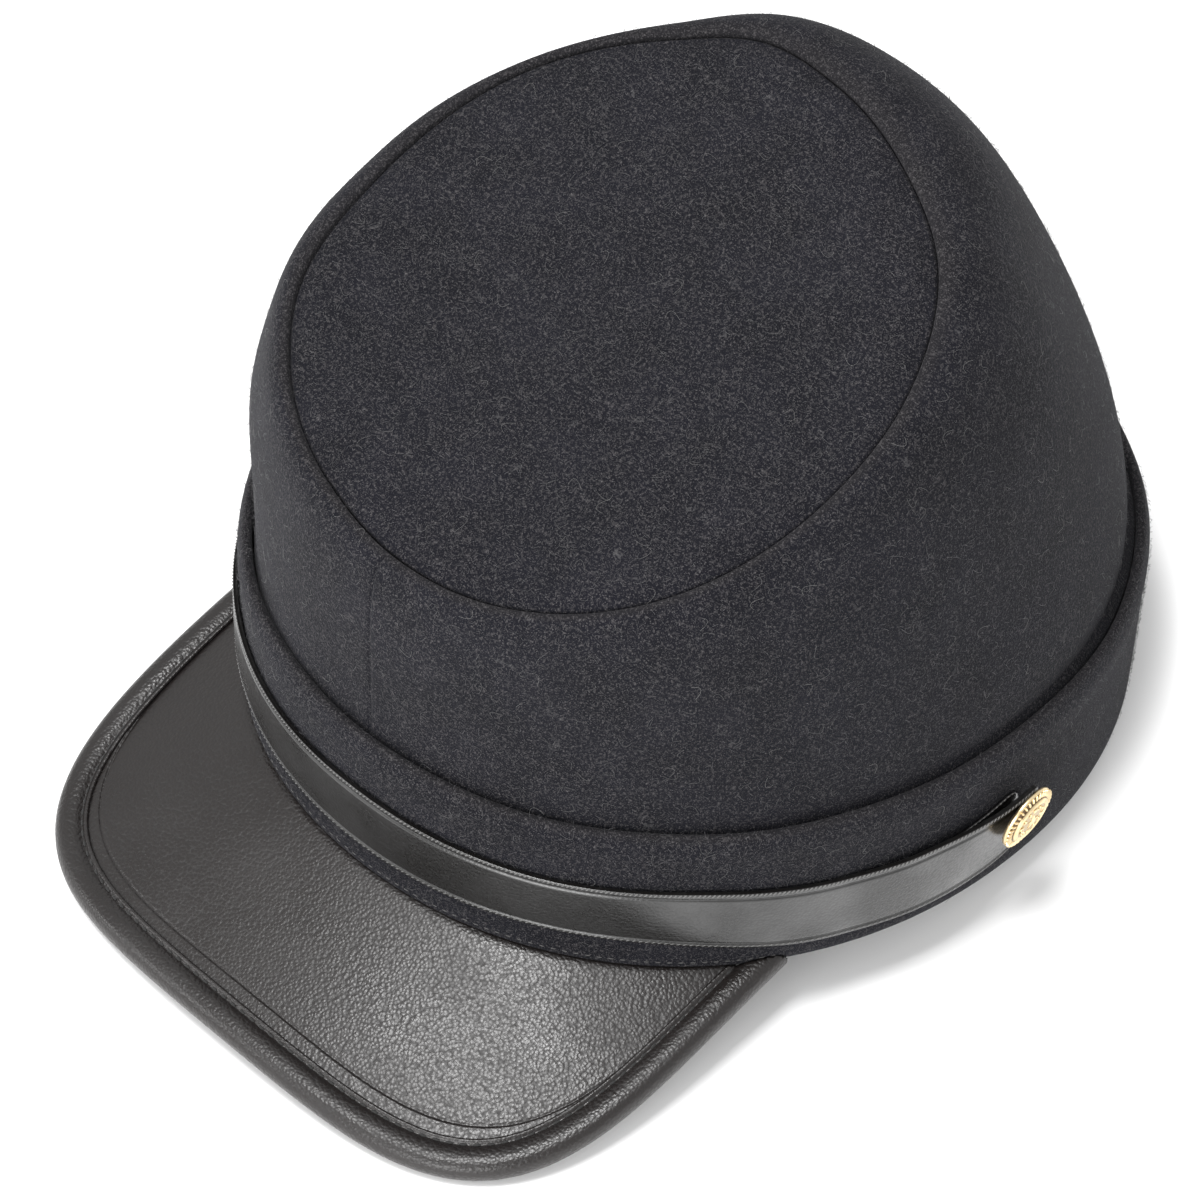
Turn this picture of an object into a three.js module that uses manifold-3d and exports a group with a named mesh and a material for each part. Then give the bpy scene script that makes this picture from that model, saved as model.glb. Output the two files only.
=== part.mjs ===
// A kepi cap: a sunken felt disc on a forward-leaning felt crown, a folded felt band, a stitched
// visor with a plump binding, and a chin strap between two domed side buttons.
// Millimetres, +Z up. The front of the cap looks along -Y and the wearer's left is +X.
// Angles go round the head from the front centre (0) over the wearer's left (90) to the back (180).
import * as THREE from 'three';
import { mergeVertices } from 'three/addons/utils/BufferGeometryUtils.js';
import Module from 'manifold-3d';

const wasm = await Module();
wasm.setup();

// The head oval, measured on the outside of the band at its lower edge
const headHalfLength = 102.9;
const headHalfWidth = 91.6;
const headSquareness = 2.08;

// The felt band
const bandHeight = 38.5;
const bandThickness = 3.0;
const bandTaper = 0.4;
const bandForwardLean = 3.1;
const bandFrontDrop = 1.0;
const bandSideDrop = 1.6;
const bandHem = 0.6;

// The crown: a tilted disc, higher at the back, and the wall between it and the band
const discHalfLength = 66.3;
const discHalfWidth = 63.8;
const discTilt = 25.3;
const discCentreHeight = 113.9;
const discCentreForward = 40.6;
const discThickness = 2.2;
const feltThickness = 2.0;
const wallTuck = 9.0;
const rimRound = 1.0;
const rimRoll = 1.4;
const innerRim = 0.93;
const allowanceWidth = 5.0;
const allowanceThickness = 1.6;
const largestDent = 3.0;

// The visor and its binding
const visorRootAngle = 58.5;
const visorReach = 40.8;
const visorSlope = 27.1;
const visorThickness = 2.4;
const visorFlange = 9.0;
const visorCornerPower = 4.4;
const visorFrontBow = 0.07;
const visorRadialShare = 0.72;
const visorCornerCut = 0.025;
const bindingWidth = 8.2;
const bindingRoll = 6.2;
const bindingWall = 1.3;
const bindingLip = 0.9;
const bindingPuff = 1.0;

// The chin strap, its folded-back ends and the buttons
const strapWidth = 17.0;
const strapThickness = 1.3;
const strapEdge = 0.4;
const strapEnd = 4.0;
const strapTopLift = 1.4;
const tailThickness = 0.7;
const tailLength = 24.0;
const tailWidth = 11.0;
const tailDrop = 0.5;
const tailSlope = 0.13;
const tailRound = 3.0;
const tailPast = 2.2;
const liftRun = 16.0;
const buttonAngle = 87.8;
const buttonRise = 4.8;
const buttonRadius = 7.5;
const buttonRim = 1.6;
const buttonDome = 1.1;
const buttonDroop = 7.0;
const buttonTurn = 5.0;
const shankRadius = 2.0;

// The clearance between neighbouring pieces, and how much of an edge's rounding its middle point takes
const clearance = 0.3;
const roundShare = 0.3;

// How finely the pieces are divided
const roundSteps = 64;
const foldSteps = 4;
const wallSteps = 13;
const innerWallSteps = 9;
const visorSteps = 40;
const visorSlices = 4;
const bindingSteps = 44;
const strapSteps = 56;
const tailSteps = 12;
const buttonSteps = 28;
const outlineSamples = 800;

// The outline of the disc: how far each direction reaches, as a share of the plain oval
const discOutline = [
  { angle: 0, reach: 0.985 },
  { angle: 25, reach: 1.005 },
  { angle: 50, reach: 1.01 },
  { angle: 85, reach: 0.991 },
  { angle: 108, reach: 1.0 },
  { angle: 132, reach: 1.007 },
  { angle: 154, reach: 0.984 },
  { angle: 178, reach: 1.004 },
  { angle: 195, reach: 1.032 },
  { angle: 212, reach: 0.993 },
  { angle: 240, reach: 0.981 },
  { angle: 272, reach: 0.979 },
  { angle: 296, reach: 1.03 },
  { angle: 312, reach: 1.018 },
  { angle: 342, reach: 0.98 },
];

// The curve of the wall, by angle. gap is the open slit behind the band's top edge as a share of the
// band's thickness. rise is how far the wall climbs straight from the band, and lean how far it leans
// outwards there, as shares of its own length. shoulder is how far it runs out of the rim before it
// turns down, as a share of the disc's half length.
const wallCurve = [
  { angle: 0, gap: 0.2, rise: 0.35, lean: 0.0, shoulder: 0.1 },
  { angle: 45, gap: 0.25, rise: 0.35, lean: 0.0, shoulder: 0.11 },
  { angle: 90, gap: 0.5, rise: 0.32, lean: 0.02, shoulder: 0.14 },
  { angle: 135, gap: 0.85, rise: 0.16, lean: 0.0, shoulder: 0.35 },
  { angle: 180, gap: 0.85, rise: 0.2, lean: 0.0, shoulder: 0.4 },
  { angle: 225, gap: 0.7, rise: 0.23, lean: 0.0, shoulder: 0.09 },
  { angle: 270, gap: 0.4, rise: 0.36, lean: 0.02, shoulder: 0.13 },
  { angle: 315, gap: 0.25, rise: 0.38, lean: 0.02, shoulder: 0.1 },
];

// Soft dents and swells of the wall: place by angle and by share of the way from band to rim, size
// by half angle and by share, and depth as a share of the largest dent, below 0 for a swell
const wallDents = [
  { angle: 112, height: 0.3, spread: 14, reach: 0.2, depth: 0.9 },
  { angle: 84, height: 0.25, spread: 12, reach: 0.18, depth: 0.5 },
  { angle: 140, height: 0.6, spread: 12, reach: 0.2, depth: 0.4 },
  { angle: 300, height: 0.3, spread: 22, reach: 0.3, depth: -0.8 },
  { angle: 160, height: 0.85, spread: 16, reach: 0.18, depth: -0.9 },
];

// The run of the strap by angle from the front, alike on both sides: its lower edge as a share of the
// band's height and its breadth as a share of its width, in a shallow wave from button to button
const strapLine = [
  { angle: 0, low: 0.195, breadth: 0.99 },
  { angle: 15, low: 0.203, breadth: 0.94 },
  { angle: 28, low: 0.216, breadth: 0.89 },
  { angle: 40, low: 0.212, breadth: 0.92 },
  { angle: 47, low: 0.186, breadth: 0.98 },
  { angle: 54, low: 0.145, breadth: 1.02 },
  { angle: 60, low: 0.117, breadth: 1.04 },
  { angle: 66, low: 0.111, breadth: 1.04 },
  { angle: 72, low: 0.123, breadth: 1.03 },
  { angle: 79, low: 0.132, breadth: 1.03 },
  { angle: 85, low: 0.16, breadth: 1.01 },
  { angle: 91, low: 0.22, breadth: 0.95 },
];

// The binding's section: across as a share of its roll's width, up as a share of its half thickness
const bindingSection = [
  { across: 0.0, up: 0.0 },
  { across: 0.1, up: 0.66 },
  { across: 0.4, up: 1.0 },
  { across: 0.75, up: 0.9 },
];

// The button's section: out as a share of its radius, then shares of the rim's and the dome's height
const buttonSection = [
  { out: 0.9, rim: 0.0, dome: 0.0 },
  { out: 1.0, rim: 0.45, dome: 0.0 },
  { out: 0.97, rim: 1.0, dome: 0.0 },
  { out: 0.75, rim: 1.0, dome: 0.5 },
  { out: 0.4, rim: 1.0, dome: 0.9 },
];

// How much of the disc its plain inner ring takes, and how the disc is divided outside it
const discRings = [0.35, 0.7];

const radians = THREE.MathUtils.degToRad;
const feltColour = 0x2b2b33;
const leatherColour = 0x2c2a29;
const brassColour = 0xd8b878;

// A table's column at any angle, by a smooth curve through its rows that closes on itself
function around(table, column, angle) {
  const turn = ((angle % 360) + 360) % 360;
  const count = table.length;
  let low = count - 1;
  for (let i = 0; i < count; i += 1) {
    if (table[i].angle <= turn) low = i;
  }
  if (table[0].angle > turn) low = count - 1;
  const at = (k) => {
    const lap = Math.floor(k / count);
    return { angle: table[k - lap * count].angle + 360 * lap, value: table[k - lap * count][column] };
  };
  const [a, b, c, d] = [low - 1, low, low + 1, low + 2].map(at);
  const place = turn < b.angle ? turn + 360 : turn;
  const width = c.angle - b.angle;
  const s = (place - b.angle) / width;
  const slopeB = ((c.value - a.value) / (c.angle - a.angle)) * width;
  const slopeC = ((d.value - b.value) / (d.angle - b.angle)) * width;
  const s2 = s * s;
  const s3 = s2 * s;
  return (2 * s3 - 3 * s2 + 1) * b.value + (s3 - 2 * s2 + s) * slopeB
    + (3 * s2 - 2 * s3) * c.value + (s3 - s2) * slopeC;
}

const signedPower = (value, power) => Math.sign(value) * Math.abs(value) ** power;

// A point on the outer face of the band: angle, height above its lower edge, distance off the face
function bandPoint(angle, height, out = 0) {
  const share = height / bandHeight;
  const halfLength = headHalfLength - bandTaper * share;
  const halfWidth = headHalfWidth - bandTaper * share;
  const s = Math.sin(radians(angle));
  const c = Math.cos(radians(angle));
  const x = halfWidth * signedPower(s, 2 / headSquareness);
  const y = -halfLength * signedPower(c, 2 / headSquareness);
  const slant = 2 - 2 / headSquareness;
  const normal = new THREE.Vector2(signedPower(s, slant) / halfWidth, -signedPower(c, slant) / halfLength);
  normal.normalize();
  return new THREE.Vector3(x + normal.x * out, y - bandForwardLean * share + normal.y * out, height);
}

// How far the band's lower edge dips at an angle: nothing at the back centre
const edgeDrop = (angle) => bandFrontDrop * Math.max(0, Math.cos(radians(angle))) ** 2
  + bandSideDrop * Math.sin(radians(angle)) ** 2;

// The disc's own directions: to the back along its slope, and straight up out of it
const discBack = new THREE.Vector3(0, Math.cos(radians(discTilt)), Math.sin(radians(discTilt)));
const discUp = new THREE.Vector3(0, -Math.sin(radians(discTilt)), Math.cos(radians(discTilt)));
const discCentre = new THREE.Vector3(0, -discCentreForward, discCentreHeight);

function discPlan(angle) {
  const reach = around(discOutline, 'reach', angle);
  return new THREE.Vector2(
    discHalfWidth * reach * Math.sin(radians(angle)),
    -discHalfLength * reach * Math.cos(radians(angle)),
  );
}

function discOutward(angle) {
  const step = 1;
  const along = discPlan(angle + step).sub(discPlan(angle - step)).normalize();
  return new THREE.Vector2(along.y, -along.x);
}

function discPoint(x, y, up) {
  return discCentre.clone().addScaledVector(discBack, y).addScaledVector(discUp, up)
    .add(new THREE.Vector3(x, 0, 0));
}

// A point by the rim seam: angle, distance outside the seam in the disc's plane, height over the disc
function rimPoint(angle, out, up) {
  const plan = discPlan(angle).addScaledVector(discOutward(angle), out);
  return discPoint(plan.x, plan.y, up);
}

// The outer face of the wall without its dents: share 0 at the band's top edge, 1 at the rim seam
function plainWall(angle, share) {
  const gap = around(wallCurve, 'gap', angle) * bandThickness;
  const start = bandPoint(angle, bandHeight, -(bandThickness + gap));
  const end = rimPoint(angle, rimRound, 0);
  const length = start.distanceTo(end);
  const outward = bandPoint(angle, bandHeight, 0).sub(start).normalize();
  const lower = start.clone().addScaledVector(outward, around(wallCurve, 'lean', angle) * length);
  lower.z += around(wallCurve, 'rise', angle) * length;
  const plan = discOutward(angle);
  const upper = end.clone()
    .addScaledVector(discBack, plan.y * around(wallCurve, 'shoulder', angle) * discHalfLength)
    .addScaledVector(discUp, rimRoll);
  upper.x += plan.x * around(wallCurve, 'shoulder', angle) * discHalfLength;
  return new THREE.CubicBezierCurve3(start, lower, upper, end).getPoint(share);
}

function wallNormal(angle, share) {
  const turn = 1.5;
  const climb = 0.02;
  const low = Math.max(0, share - climb);
  const high = Math.min(1, share + climb);
  const round = plainWall(angle + turn, share).sub(plainWall(angle - turn, share));
  const up = plainWall(angle, high).sub(plainWall(angle, low));
  return round.cross(up).normalize();
}

function dentDepth(angle, share) {
  let depth = 0;
  for (const dent of wallDents) {
    const turn = (((angle - dent.angle + 180) % 360) + 360) % 360 - 180;
    const across = turn / dent.spread;
    const climb = (share - dent.height) / dent.reach;
    depth += dent.depth * largestDent * Math.exp(-across * across - climb * climb);
  }
  return depth;
}

function wallPoint(angle, share, inward) {
  const fade = Math.sin(Math.PI * Math.min(1, Math.max(0, share)));
  const normal = wallNormal(angle, share);
  return plainWall(angle, share).addScaledVector(normal, -inward - fade * dentDepth(angle, share));
}

// Closes a row of equal outlines into one body: flat lids at both ends, or joined on itself
function loft(outlines, { ring = false } = {}) {
  const points = outlines.flat();
  const size = outlines[0].length;
  const rows = outlines.length;
  const faces = [];
  for (let i = 0; i < (ring ? rows : rows - 1); i += 1) {
    const next = (i + 1) % rows;
    for (let j = 0; j < size; j += 1) {
      const right = (j + 1) % size;
      faces.push([i * size + j, next * size + j, next * size + right]);
      faces.push([i * size + j, next * size + right, i * size + right]);
    }
  }
  if (!ring) {
    const plane = flatPlane(outlines[0]);
    const lid = THREE.ShapeUtils.triangulateShape(plane, []);
    const facing = THREE.ShapeUtils.area(plane) > 0 ? 1 : -1;
    const last = (rows - 1) * size;
    for (const [a, b, c] of lid) {
      faces.push(facing > 0 ? [a, b, c] : [a, c, b]);
      faces.push(facing > 0 ? [last + a, last + c, last + b] : [last + a, last + b, last + c]);
    }
  }
  return closedBody(points, faces);
}

// The outline seen flat in its own plane, for closing its lid
function flatPlane(outline) {
  const centre = new THREE.Vector3();
  outline.forEach((p) => centre.addScaledVector(p, 1 / outline.length));
  const normal = new THREE.Vector3();
  outline.forEach((p, i) => {
    const q = outline[(i + 1) % outline.length];
    normal.add(p.clone().sub(centre).cross(q.clone().sub(centre)));
  });
  normal.normalize();
  const across = outline[0].clone().sub(centre);
  across.addScaledVector(normal, -across.dot(normal)).normalize();
  const up = normal.clone().cross(across);
  return outline.map((p) => {
    const from = p.clone().sub(centre);
    return new THREE.Vector2(from.dot(across), from.dot(up));
  });
}

// A body of rings between two end points, such as a disc or a domed button
function roundBody(start, rings, end) {
  const size = rings[0].length;
  const points = [start, ...rings.flat(), end];
  const faces = [];
  for (let i = 0; i < size; i += 1) {
    const next = (i + 1) % size;
    faces.push([0, 1 + i, 1 + next]);
    for (let k = 0; k + 1 < rings.length; k += 1) {
      const here = 1 + k * size;
      const there = here + size;
      faces.push([here + i, there + i, there + next]);
      faces.push([here + i, there + next, here + next]);
    }
    const last = 1 + (rings.length - 1) * size;
    faces.push([last + i, points.length - 1, last + next]);
  }
  return closedBody(points, faces);
}

// A geometry from points and faces, turned so that its faces look out of the body
function closedBody(points, faces) {
  let volume = 0;
  for (const [a, b, c] of faces) {
    volume += points[a].dot(points[b].clone().cross(points[c])) / 6;
  }
  const turned = volume > 0 ? faces : faces.map(([a, b, c]) => [a, c, b]);
  const geometry = new THREE.BufferGeometry();
  geometry.setAttribute('position', new THREE.Float32BufferAttribute(points.flatMap((p) => p.toArray()), 3));
  geometry.setIndex(turned.flat());
  return geometry;
}

function toSolid(geometry) {
  const bare = geometry.clone();
  bare.deleteAttribute('normal');
  bare.deleteAttribute('uv');
  const merged = mergeVertices(bare, 1e-4);
  return new wasm.Manifold(new wasm.Mesh({
    numProp: 3,
    vertProperties: new Float32Array(merged.attributes.position.array),
    triVerts: new Uint32Array(merged.index.array),
  }));
}

function fromSolid(solid) {
  const mesh = solid.getMesh();
  const geometry = new THREE.BufferGeometry();
  geometry.setAttribute('position', new THREE.Float32BufferAttribute(mesh.vertProperties, 3));
  geometry.setIndex(Array.from(mesh.triVerts));
  return geometry;
}

const roundAngles = Array.from({ length: roundSteps }, (_, i) => (360 * i) / roundSteps);
const between = (from, to, steps) =>
  Array.from({ length: steps + 1 }, (_, i) => from + ((to - from) * i) / steps);

function makeMaterial(color, roughness, metalness) {
  return new THREE.MeshStandardMaterial({ color, roughness, metalness });
}

// The band: a doubled felt strip whose folded edge is the round one at the top
function bandBody() {
  const half = bandThickness / 2;
  return loft(roundAngles.map((angle) => {
    const drop = edgeDrop(angle);
    const fold = between(0, 1, foldSteps).map((share) => bandPoint(
      angle,
      bandHeight - half + half * Math.sin(Math.PI * share),
      -half + half * Math.cos(Math.PI * share),
    ));
    const lowered = (height, out) => {
      const point = bandPoint(angle, height, out);
      point.z -= drop;
      return point;
    };
    return [
      lowered(0, -bandHem),
      lowered(bandHem, 0),
      ...fold,
      lowered(bandHem, -bandThickness),
      lowered(0, bandHem - bandThickness),
    ];
  }), { ring: true });
}

// The wall: up from behind the band, over the rim roll, down into the seam and in under the disc
function wallBody() {
  const outerShares = between(0, 1, wallSteps);
  const innerShares = between(0, innerRim, innerWallSteps).reverse();
  const tuckEnd = bandHeight - wallTuck;
  const allowanceTop = -(discThickness + clearance);
  const allowanceBottom = allowanceTop - allowanceThickness;
  return loft(roundAngles.map((angle) => {
    const outer = outerShares.map((share) => wallPoint(angle, share, 0));
    const inner = innerShares.map((share) => wallPoint(angle, share, feltThickness));
    return [
      bandPoint(angle, tuckEnd, -(bandThickness + clearance)),
      ...outer,
      rimPoint(angle, rimRound * roundShare, -rimRound * roundShare),
      rimPoint(angle, 0, -rimRound),
      rimPoint(angle, 0, allowanceTop),
      rimPoint(angle, -allowanceWidth, allowanceTop),
      rimPoint(angle, -allowanceWidth, allowanceBottom),
      rimPoint(angle, rimRound, allowanceBottom),
      ...inner,
      bandPoint(angle, tuckEnd, -(bandThickness + clearance + feltThickness)),
    ];
  }), { ring: true });
}

// The disc: flat felt with a rounded edge that drops into the seam
function discBody() {
  const edge = -clearance;
  const ring = (place) => roundAngles.map(place);
  const shrunk = (angle, share, up) => {
    const plan = discPlan(angle).multiplyScalar(share);
    return discPoint(plan.x, plan.y, up);
  };
  return roundBody(discPoint(0, 0, 0), [
    ...discRings.map((share) => ring((angle) => shrunk(angle, share, 0))),
    ring((angle) => rimPoint(angle, edge - rimRound, 0)),
    ring((angle) => rimPoint(angle, edge - rimRound * roundShare, -rimRound * roundShare)),
    ring((angle) => rimPoint(angle, edge, -rimRound)),
    ring((angle) => rimPoint(angle, edge, -discThickness)),
    ring((angle) => shrunk(angle, discRings[0], -discThickness)),
  ], discPoint(0, 0, -discThickness));
}

// The visor's outline in plan, from root to root: u is -1 on the wearer's right, 1 on the left
const visorRoot = bandPoint(visorRootAngle, 0);
const visorLength = headHalfLength + visorReach + visorRoot.y;

function visorEdge(u) {
  const turn = (Math.PI / 2) * (1 - u);
  const x = visorRoot.x * signedPower(Math.cos(turn), 2 / visorCornerPower);
  const bow = 1 - visorFrontBow * (x / visorRoot.x) ** 2;
  const out = visorLength * bow * Math.sin(turn) ** (2 / visorCornerPower);
  return new THREE.Vector2(x, visorRoot.y - out);
}

// The place of the visor's top face at a point in plan, falling away from the band's lower edge
function visorHeight(x, y) {
  const reach = (Math.abs(x / headHalfWidth) ** headSquareness
    + Math.abs(y / headHalfLength) ** headSquareness) ** (1 / headSquareness);
  const foot = new THREE.Vector2(x / reach, y / reach);
  const angle = THREE.MathUtils.radToDeg(Math.atan2(foot.x / headHalfWidth, -foot.y / headHalfLength));
  const radial = Math.max(0, Math.hypot(x - foot.x, y - foot.y) * Math.sign(reach - 1));
  const forward = Math.max(0, foot.y - y);
  const fall = visorRadialShare * radial + (1 - visorRadialShare) * forward;
  return -edgeDrop(angle) - clearance - Math.tan(radians(visorSlope)) * fall;
}

function visorSurface(plan) {
  const step = 0.5;
  const point = new THREE.Vector3(plan.x, plan.y, visorHeight(plan.x, plan.y));
  const slopeX = (visorHeight(plan.x + step, plan.y) - visorHeight(plan.x - step, plan.y)) / (2 * step);
  const slopeY = (visorHeight(plan.x, plan.y + step) - visorHeight(plan.x, plan.y - step)) / (2 * step);
  return { point, normal: new THREE.Vector3(-slopeX, -slopeY, 1).normalize() };
}

// The visor's outline has its samples evenly along its length
const visorOutline = (() => {
  const fine = between(-1, 1, outlineSamples).map(visorEdge);
  const lengths = [0];
  for (let i = 1; i < fine.length; i += 1) lengths.push(lengths[i - 1] + fine[i].distanceTo(fine[i - 1]));
  return { fine, lengths, total: lengths[lengths.length - 1] };
})();

function outlineAt(share) {
  const { fine, lengths, total } = visorOutline;
  const want = share * total;
  let i = 1;
  while (i < lengths.length - 1 && lengths[i] < want) i += 1;
  const part = (want - lengths[i - 1]) / (lengths[i] - lengths[i - 1]);
  const plan = fine[i - 1].clone().lerp(fine[i], part);
  const along = fine[i].clone().sub(fine[i - 1]).normalize();
  return { plan, along };
}

// Where the visor's edge runs: on its middle surface, with directions inwards and upwards
function edgeFrame(share) {
  const { plan, along } = outlineAt(share);
  const { point, normal } = visorSurface(plan);
  const flat = new THREE.Vector3(-along.y, along.x, 0);
  const middle = point.addScaledVector(normal, -visorThickness / 2);
  const inward = flat.clone().addScaledVector(normal, -flat.dot(normal)).normalize();
  return { middle, inward, normal };
}

// The visor: a plate that falls away from the band, with its sewing flange up inside the band
function visorBody() {
  const inset = bindingWall + clearance;
  const behind = bandThickness + clearance;
  return loft(between(visorCornerCut, 1 - visorCornerCut, visorSteps).map((share) => {
    const angle = (2 * share - 1) * visorRootAngle;
    const root = bandPoint(angle, 0);
    const { middle, inward, normal } = edgeFrame(share);
    const start = middle.clone().addScaledVector(inward, inset)
      .addScaledVector(normal, visorThickness / 2);
    const drop = edgeDrop(angle) + clearance;
    const top = [];
    const under = [];
    for (let k = 0; k <= visorSlices; k += 1) {
      const plan = new THREE.Vector2(start.x, start.y)
        .lerp(new THREE.Vector2(root.x, root.y), k / visorSlices);
      const { point } = visorSurface(plan);
      const depth = k === 0 ? normal.clone().multiplyScalar(normal.z) : new THREE.Vector3(0, 0, 1);
      top.push(point);
      under.push(point.clone().addScaledVector(depth, -visorThickness));
    }
    const flange = (out, height) => {
      const point = bandPoint(angle, 0, -out);
      point.z = height - drop;
      return point;
    };
    return [
      ...top,
      flange(behind, 0),
      flange(behind, visorFlange),
      flange(behind + visorThickness, visorFlange),
      flange(behind + visorThickness, -visorThickness),
      ...under.reverse(),
    ];
  }));
}

// The binding: a plump roll at the edge, then two thin lips that grip the visor
function bindingBody() {
  const slot = visorThickness / 2 + clearance;
  const lip = slot + bindingLip;
  const roll = lip + bindingPuff;
  const [tip, ...bulge] = bindingSection.map(({ across, up }) => [across * bindingRoll, up * roll]);
  const upper = [
    ...bulge,
    [bindingRoll, lip],
    [bindingWidth, lip],
    [bindingWidth, slot],
    [bindingWall, slot],
  ];
  const lower = upper.map(([across, up]) => [across, -up]).reverse();
  const section = [tip, ...upper, ...lower];
  return loft(between(0, 1, bindingSteps).map((share) => {
    const { middle, inward, normal } = edgeFrame(share);
    return section.map(([across, up]) =>
      middle.clone().addScaledVector(inward, across).addScaledVector(normal, up));
  }));
}

// The chin strap lies on the band and lifts over the folded-back ends at the buttons, most at its top
const degreesPerMm = 180 / (Math.PI * headHalfWidth);
const tailTo = buttonAngle + tailPast * degreesPerMm;
const tailFrom = tailTo - tailLength * degreesPerMm;
const strapLow = (angle) => around(strapLine, 'low', Math.abs(angle)) * bandHeight;
const strapBreadth = (angle) => around(strapLine, 'breadth', Math.abs(angle)) * strapWidth;

function strapLift(angle, height) {
  const share = (height - strapLow(angle)) / strapBreadth(angle);
  const over = THREE.MathUtils.smoothstep(Math.abs(angle), tailFrom - liftRun * degreesPerMm, tailFrom);
  const end = THREE.MathUtils.smoothstep(Math.abs(angle), tailFrom, tailTo);
  return clearance + over * (tailThickness + clearance) + end * strapTopLift * share;
}

function strapBody() {
  const reach = buttonAngle + strapEnd * degreesPerMm;
  return loft(between(-reach, reach, strapSteps).map((angle) => {
    const low = strapLow(angle);
    const high = low + strapBreadth(angle);
    const strapPoint = (height, depth) => bandPoint(angle, height, strapLift(angle, height) + depth);
    return [
      strapPoint(low + strapEdge, 0),
      strapPoint(low, strapEdge),
      strapPoint(low, strapThickness - strapEdge),
      strapPoint(low + strapEdge, strapThickness),
      strapPoint(high - strapEdge, strapThickness),
      strapPoint(high, strapThickness - strapEdge),
      strapPoint(high, strapEdge),
      strapPoint(high - strapEdge, 0),
    ];
  }));
}

// A folded-back end: a thin strip under the strap, whose round end shows behind the strap's top edge
function tailBody(side) {
  return loft(between(tailFrom, tailTo, tailSteps).map((angle) => {
    const fromEnd = (tailTo - angle) / degreesPerMm;
    const bend = Math.max(0, 1 - fromEnd / tailRound);
    const rounding = tailRound * (1 - Math.sqrt(1 - bend * bend));
    const edge = strapLow(angle) + strapBreadth(angle) - tailDrop - tailSlope * fromEnd;
    const low = edge - tailWidth;
    const high = edge - rounding;
    return [
      bandPoint(side * angle, low, clearance),
      bandPoint(side * angle, low, clearance + tailThickness),
      bandPoint(side * angle, high, clearance + tailThickness),
      bandPoint(side * angle, high, clearance),
    ];
  }));
}

// A domed button on its shank, which faces away from the head, a little down and to the back
function buttonBody(side) {
  const circle = (radius, height) => between(0, 360, buttonSteps).slice(0, -1).map((turn) =>
    new THREE.Vector3(radius * Math.cos(radians(turn)), height, radius * Math.sin(radians(turn))));
  const height = strapLow(buttonAngle) + strapBreadth(buttonAngle) / 2 + buttonRise;
  const strapFace = strapLift(buttonAngle, height) + strapThickness;
  const shankEnd = clearance + shankRadius * Math.sin(radians(buttonTurn));
  const back = clearance + strapEnd * Math.sin(radians(buttonTurn)) + shankEnd;
  const rings = buttonSection.map(({ out, rim, dome }) =>
    circle(buttonRadius * out, back + rim * buttonRim + dome * buttonDome));
  const geometry = roundBody(
    new THREE.Vector3(0, shankEnd, 0),
    [circle(shankRadius, shankEnd), circle(shankRadius, back), ...rings],
    new THREE.Vector3(0, back + buttonRim + buttonDome, 0),
  );
  const seat = bandPoint(side * buttonAngle, height, strapFace);
  const outward = bandPoint(side * buttonAngle, height, strapFace + 1).sub(seat);
  const facing = Math.atan2(outward.y, outward.x) + side * radians(buttonTurn);
  const droop = radians(buttonDroop);
  const axis = new THREE.Vector3(Math.cos(facing) * Math.cos(droop), Math.sin(facing) * Math.cos(droop),
    -Math.sin(droop));
  geometry.applyQuaternion(new THREE.Quaternion().setFromUnitVectors(new THREE.Vector3(0, 1, 0), axis));
  geometry.translate(seat.x, seat.y, seat.z);
  return geometry;
}

function addMesh(group, name, geometry, material) {
  const mesh = new THREE.Mesh(geometry, material);
  mesh.name = name;
  group.add(mesh);
}

const cap = new THREE.Group();
addMesh(cap, 'crown_top', discBody(), makeMaterial(feltColour, 0.95, 0));
addMesh(cap, 'crown_wall', wallBody(), makeMaterial(feltColour, 0.95, 0));
addMesh(cap, 'band', bandBody(), makeMaterial(feltColour, 0.95, 0));
addMesh(cap, 'visor', visorBody(), makeMaterial(leatherColour, 0.45, 0));

// The binding's ends are cut to the band's round face
const bandColumn = loft(between(-bandHeight, bandHeight, 1).map((height) =>
  roundAngles.map((angle) => {
    const point = bandPoint(angle, 0, clearance);
    point.z = height;
    return point;
  })));
const binding = fromSolid(toSolid(bindingBody()).subtract(toSolid(bandColumn)));
addMesh(cap, 'visor_binding', binding, makeMaterial(leatherColour, 0.4, 0));
addMesh(cap, 'chin_strap', strapBody(), makeMaterial(leatherColour, 0.35, 0));
for (const [name, side] of [['left', 1], ['right', -1]]) {
  addMesh(cap, `strap_tail_${name}`, tailBody(side), makeMaterial(leatherColour, 0.5, 0));
  addMesh(cap, `button_${name}`, buttonBody(side), makeMaterial(brassColour, 0.32, 1));
}

// The cap rests on the lowest parts of the visor's binding and on the back of the band's lower edge,
// so its front sits raised
function restTilt() {
  const rear = headHalfLength - bandHem;
  const place = binding.attributes.position;
  let tilt = 0;
  for (let i = 0; i < place.count; i += 1) {
    tilt = Math.max(tilt, Math.atan2(-place.getZ(i), rear - place.getY(i)));
  }
  return tilt;
}

cap.rotation.x = -restTilt();
const object = new THREE.Group();
object.add(cap);
object.updateMatrixWorld(true);
const box = new THREE.Box3().setFromObject(object, true);
cap.position.set(-(box.min.x + box.max.x) / 2, -(box.min.y + box.max.y) / 2, -box.min.z);
object.updateMatrixWorld(true);

export default object;
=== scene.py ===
"""A kepi cap: felt crown with a sunken disc, folded felt band, stitched visor with a plump binding,
and a chin strap between two fluted brass buttons."""

import math

import bmesh
import bpy
import numpy as np
from mathutils import Matrix, Vector


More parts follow.
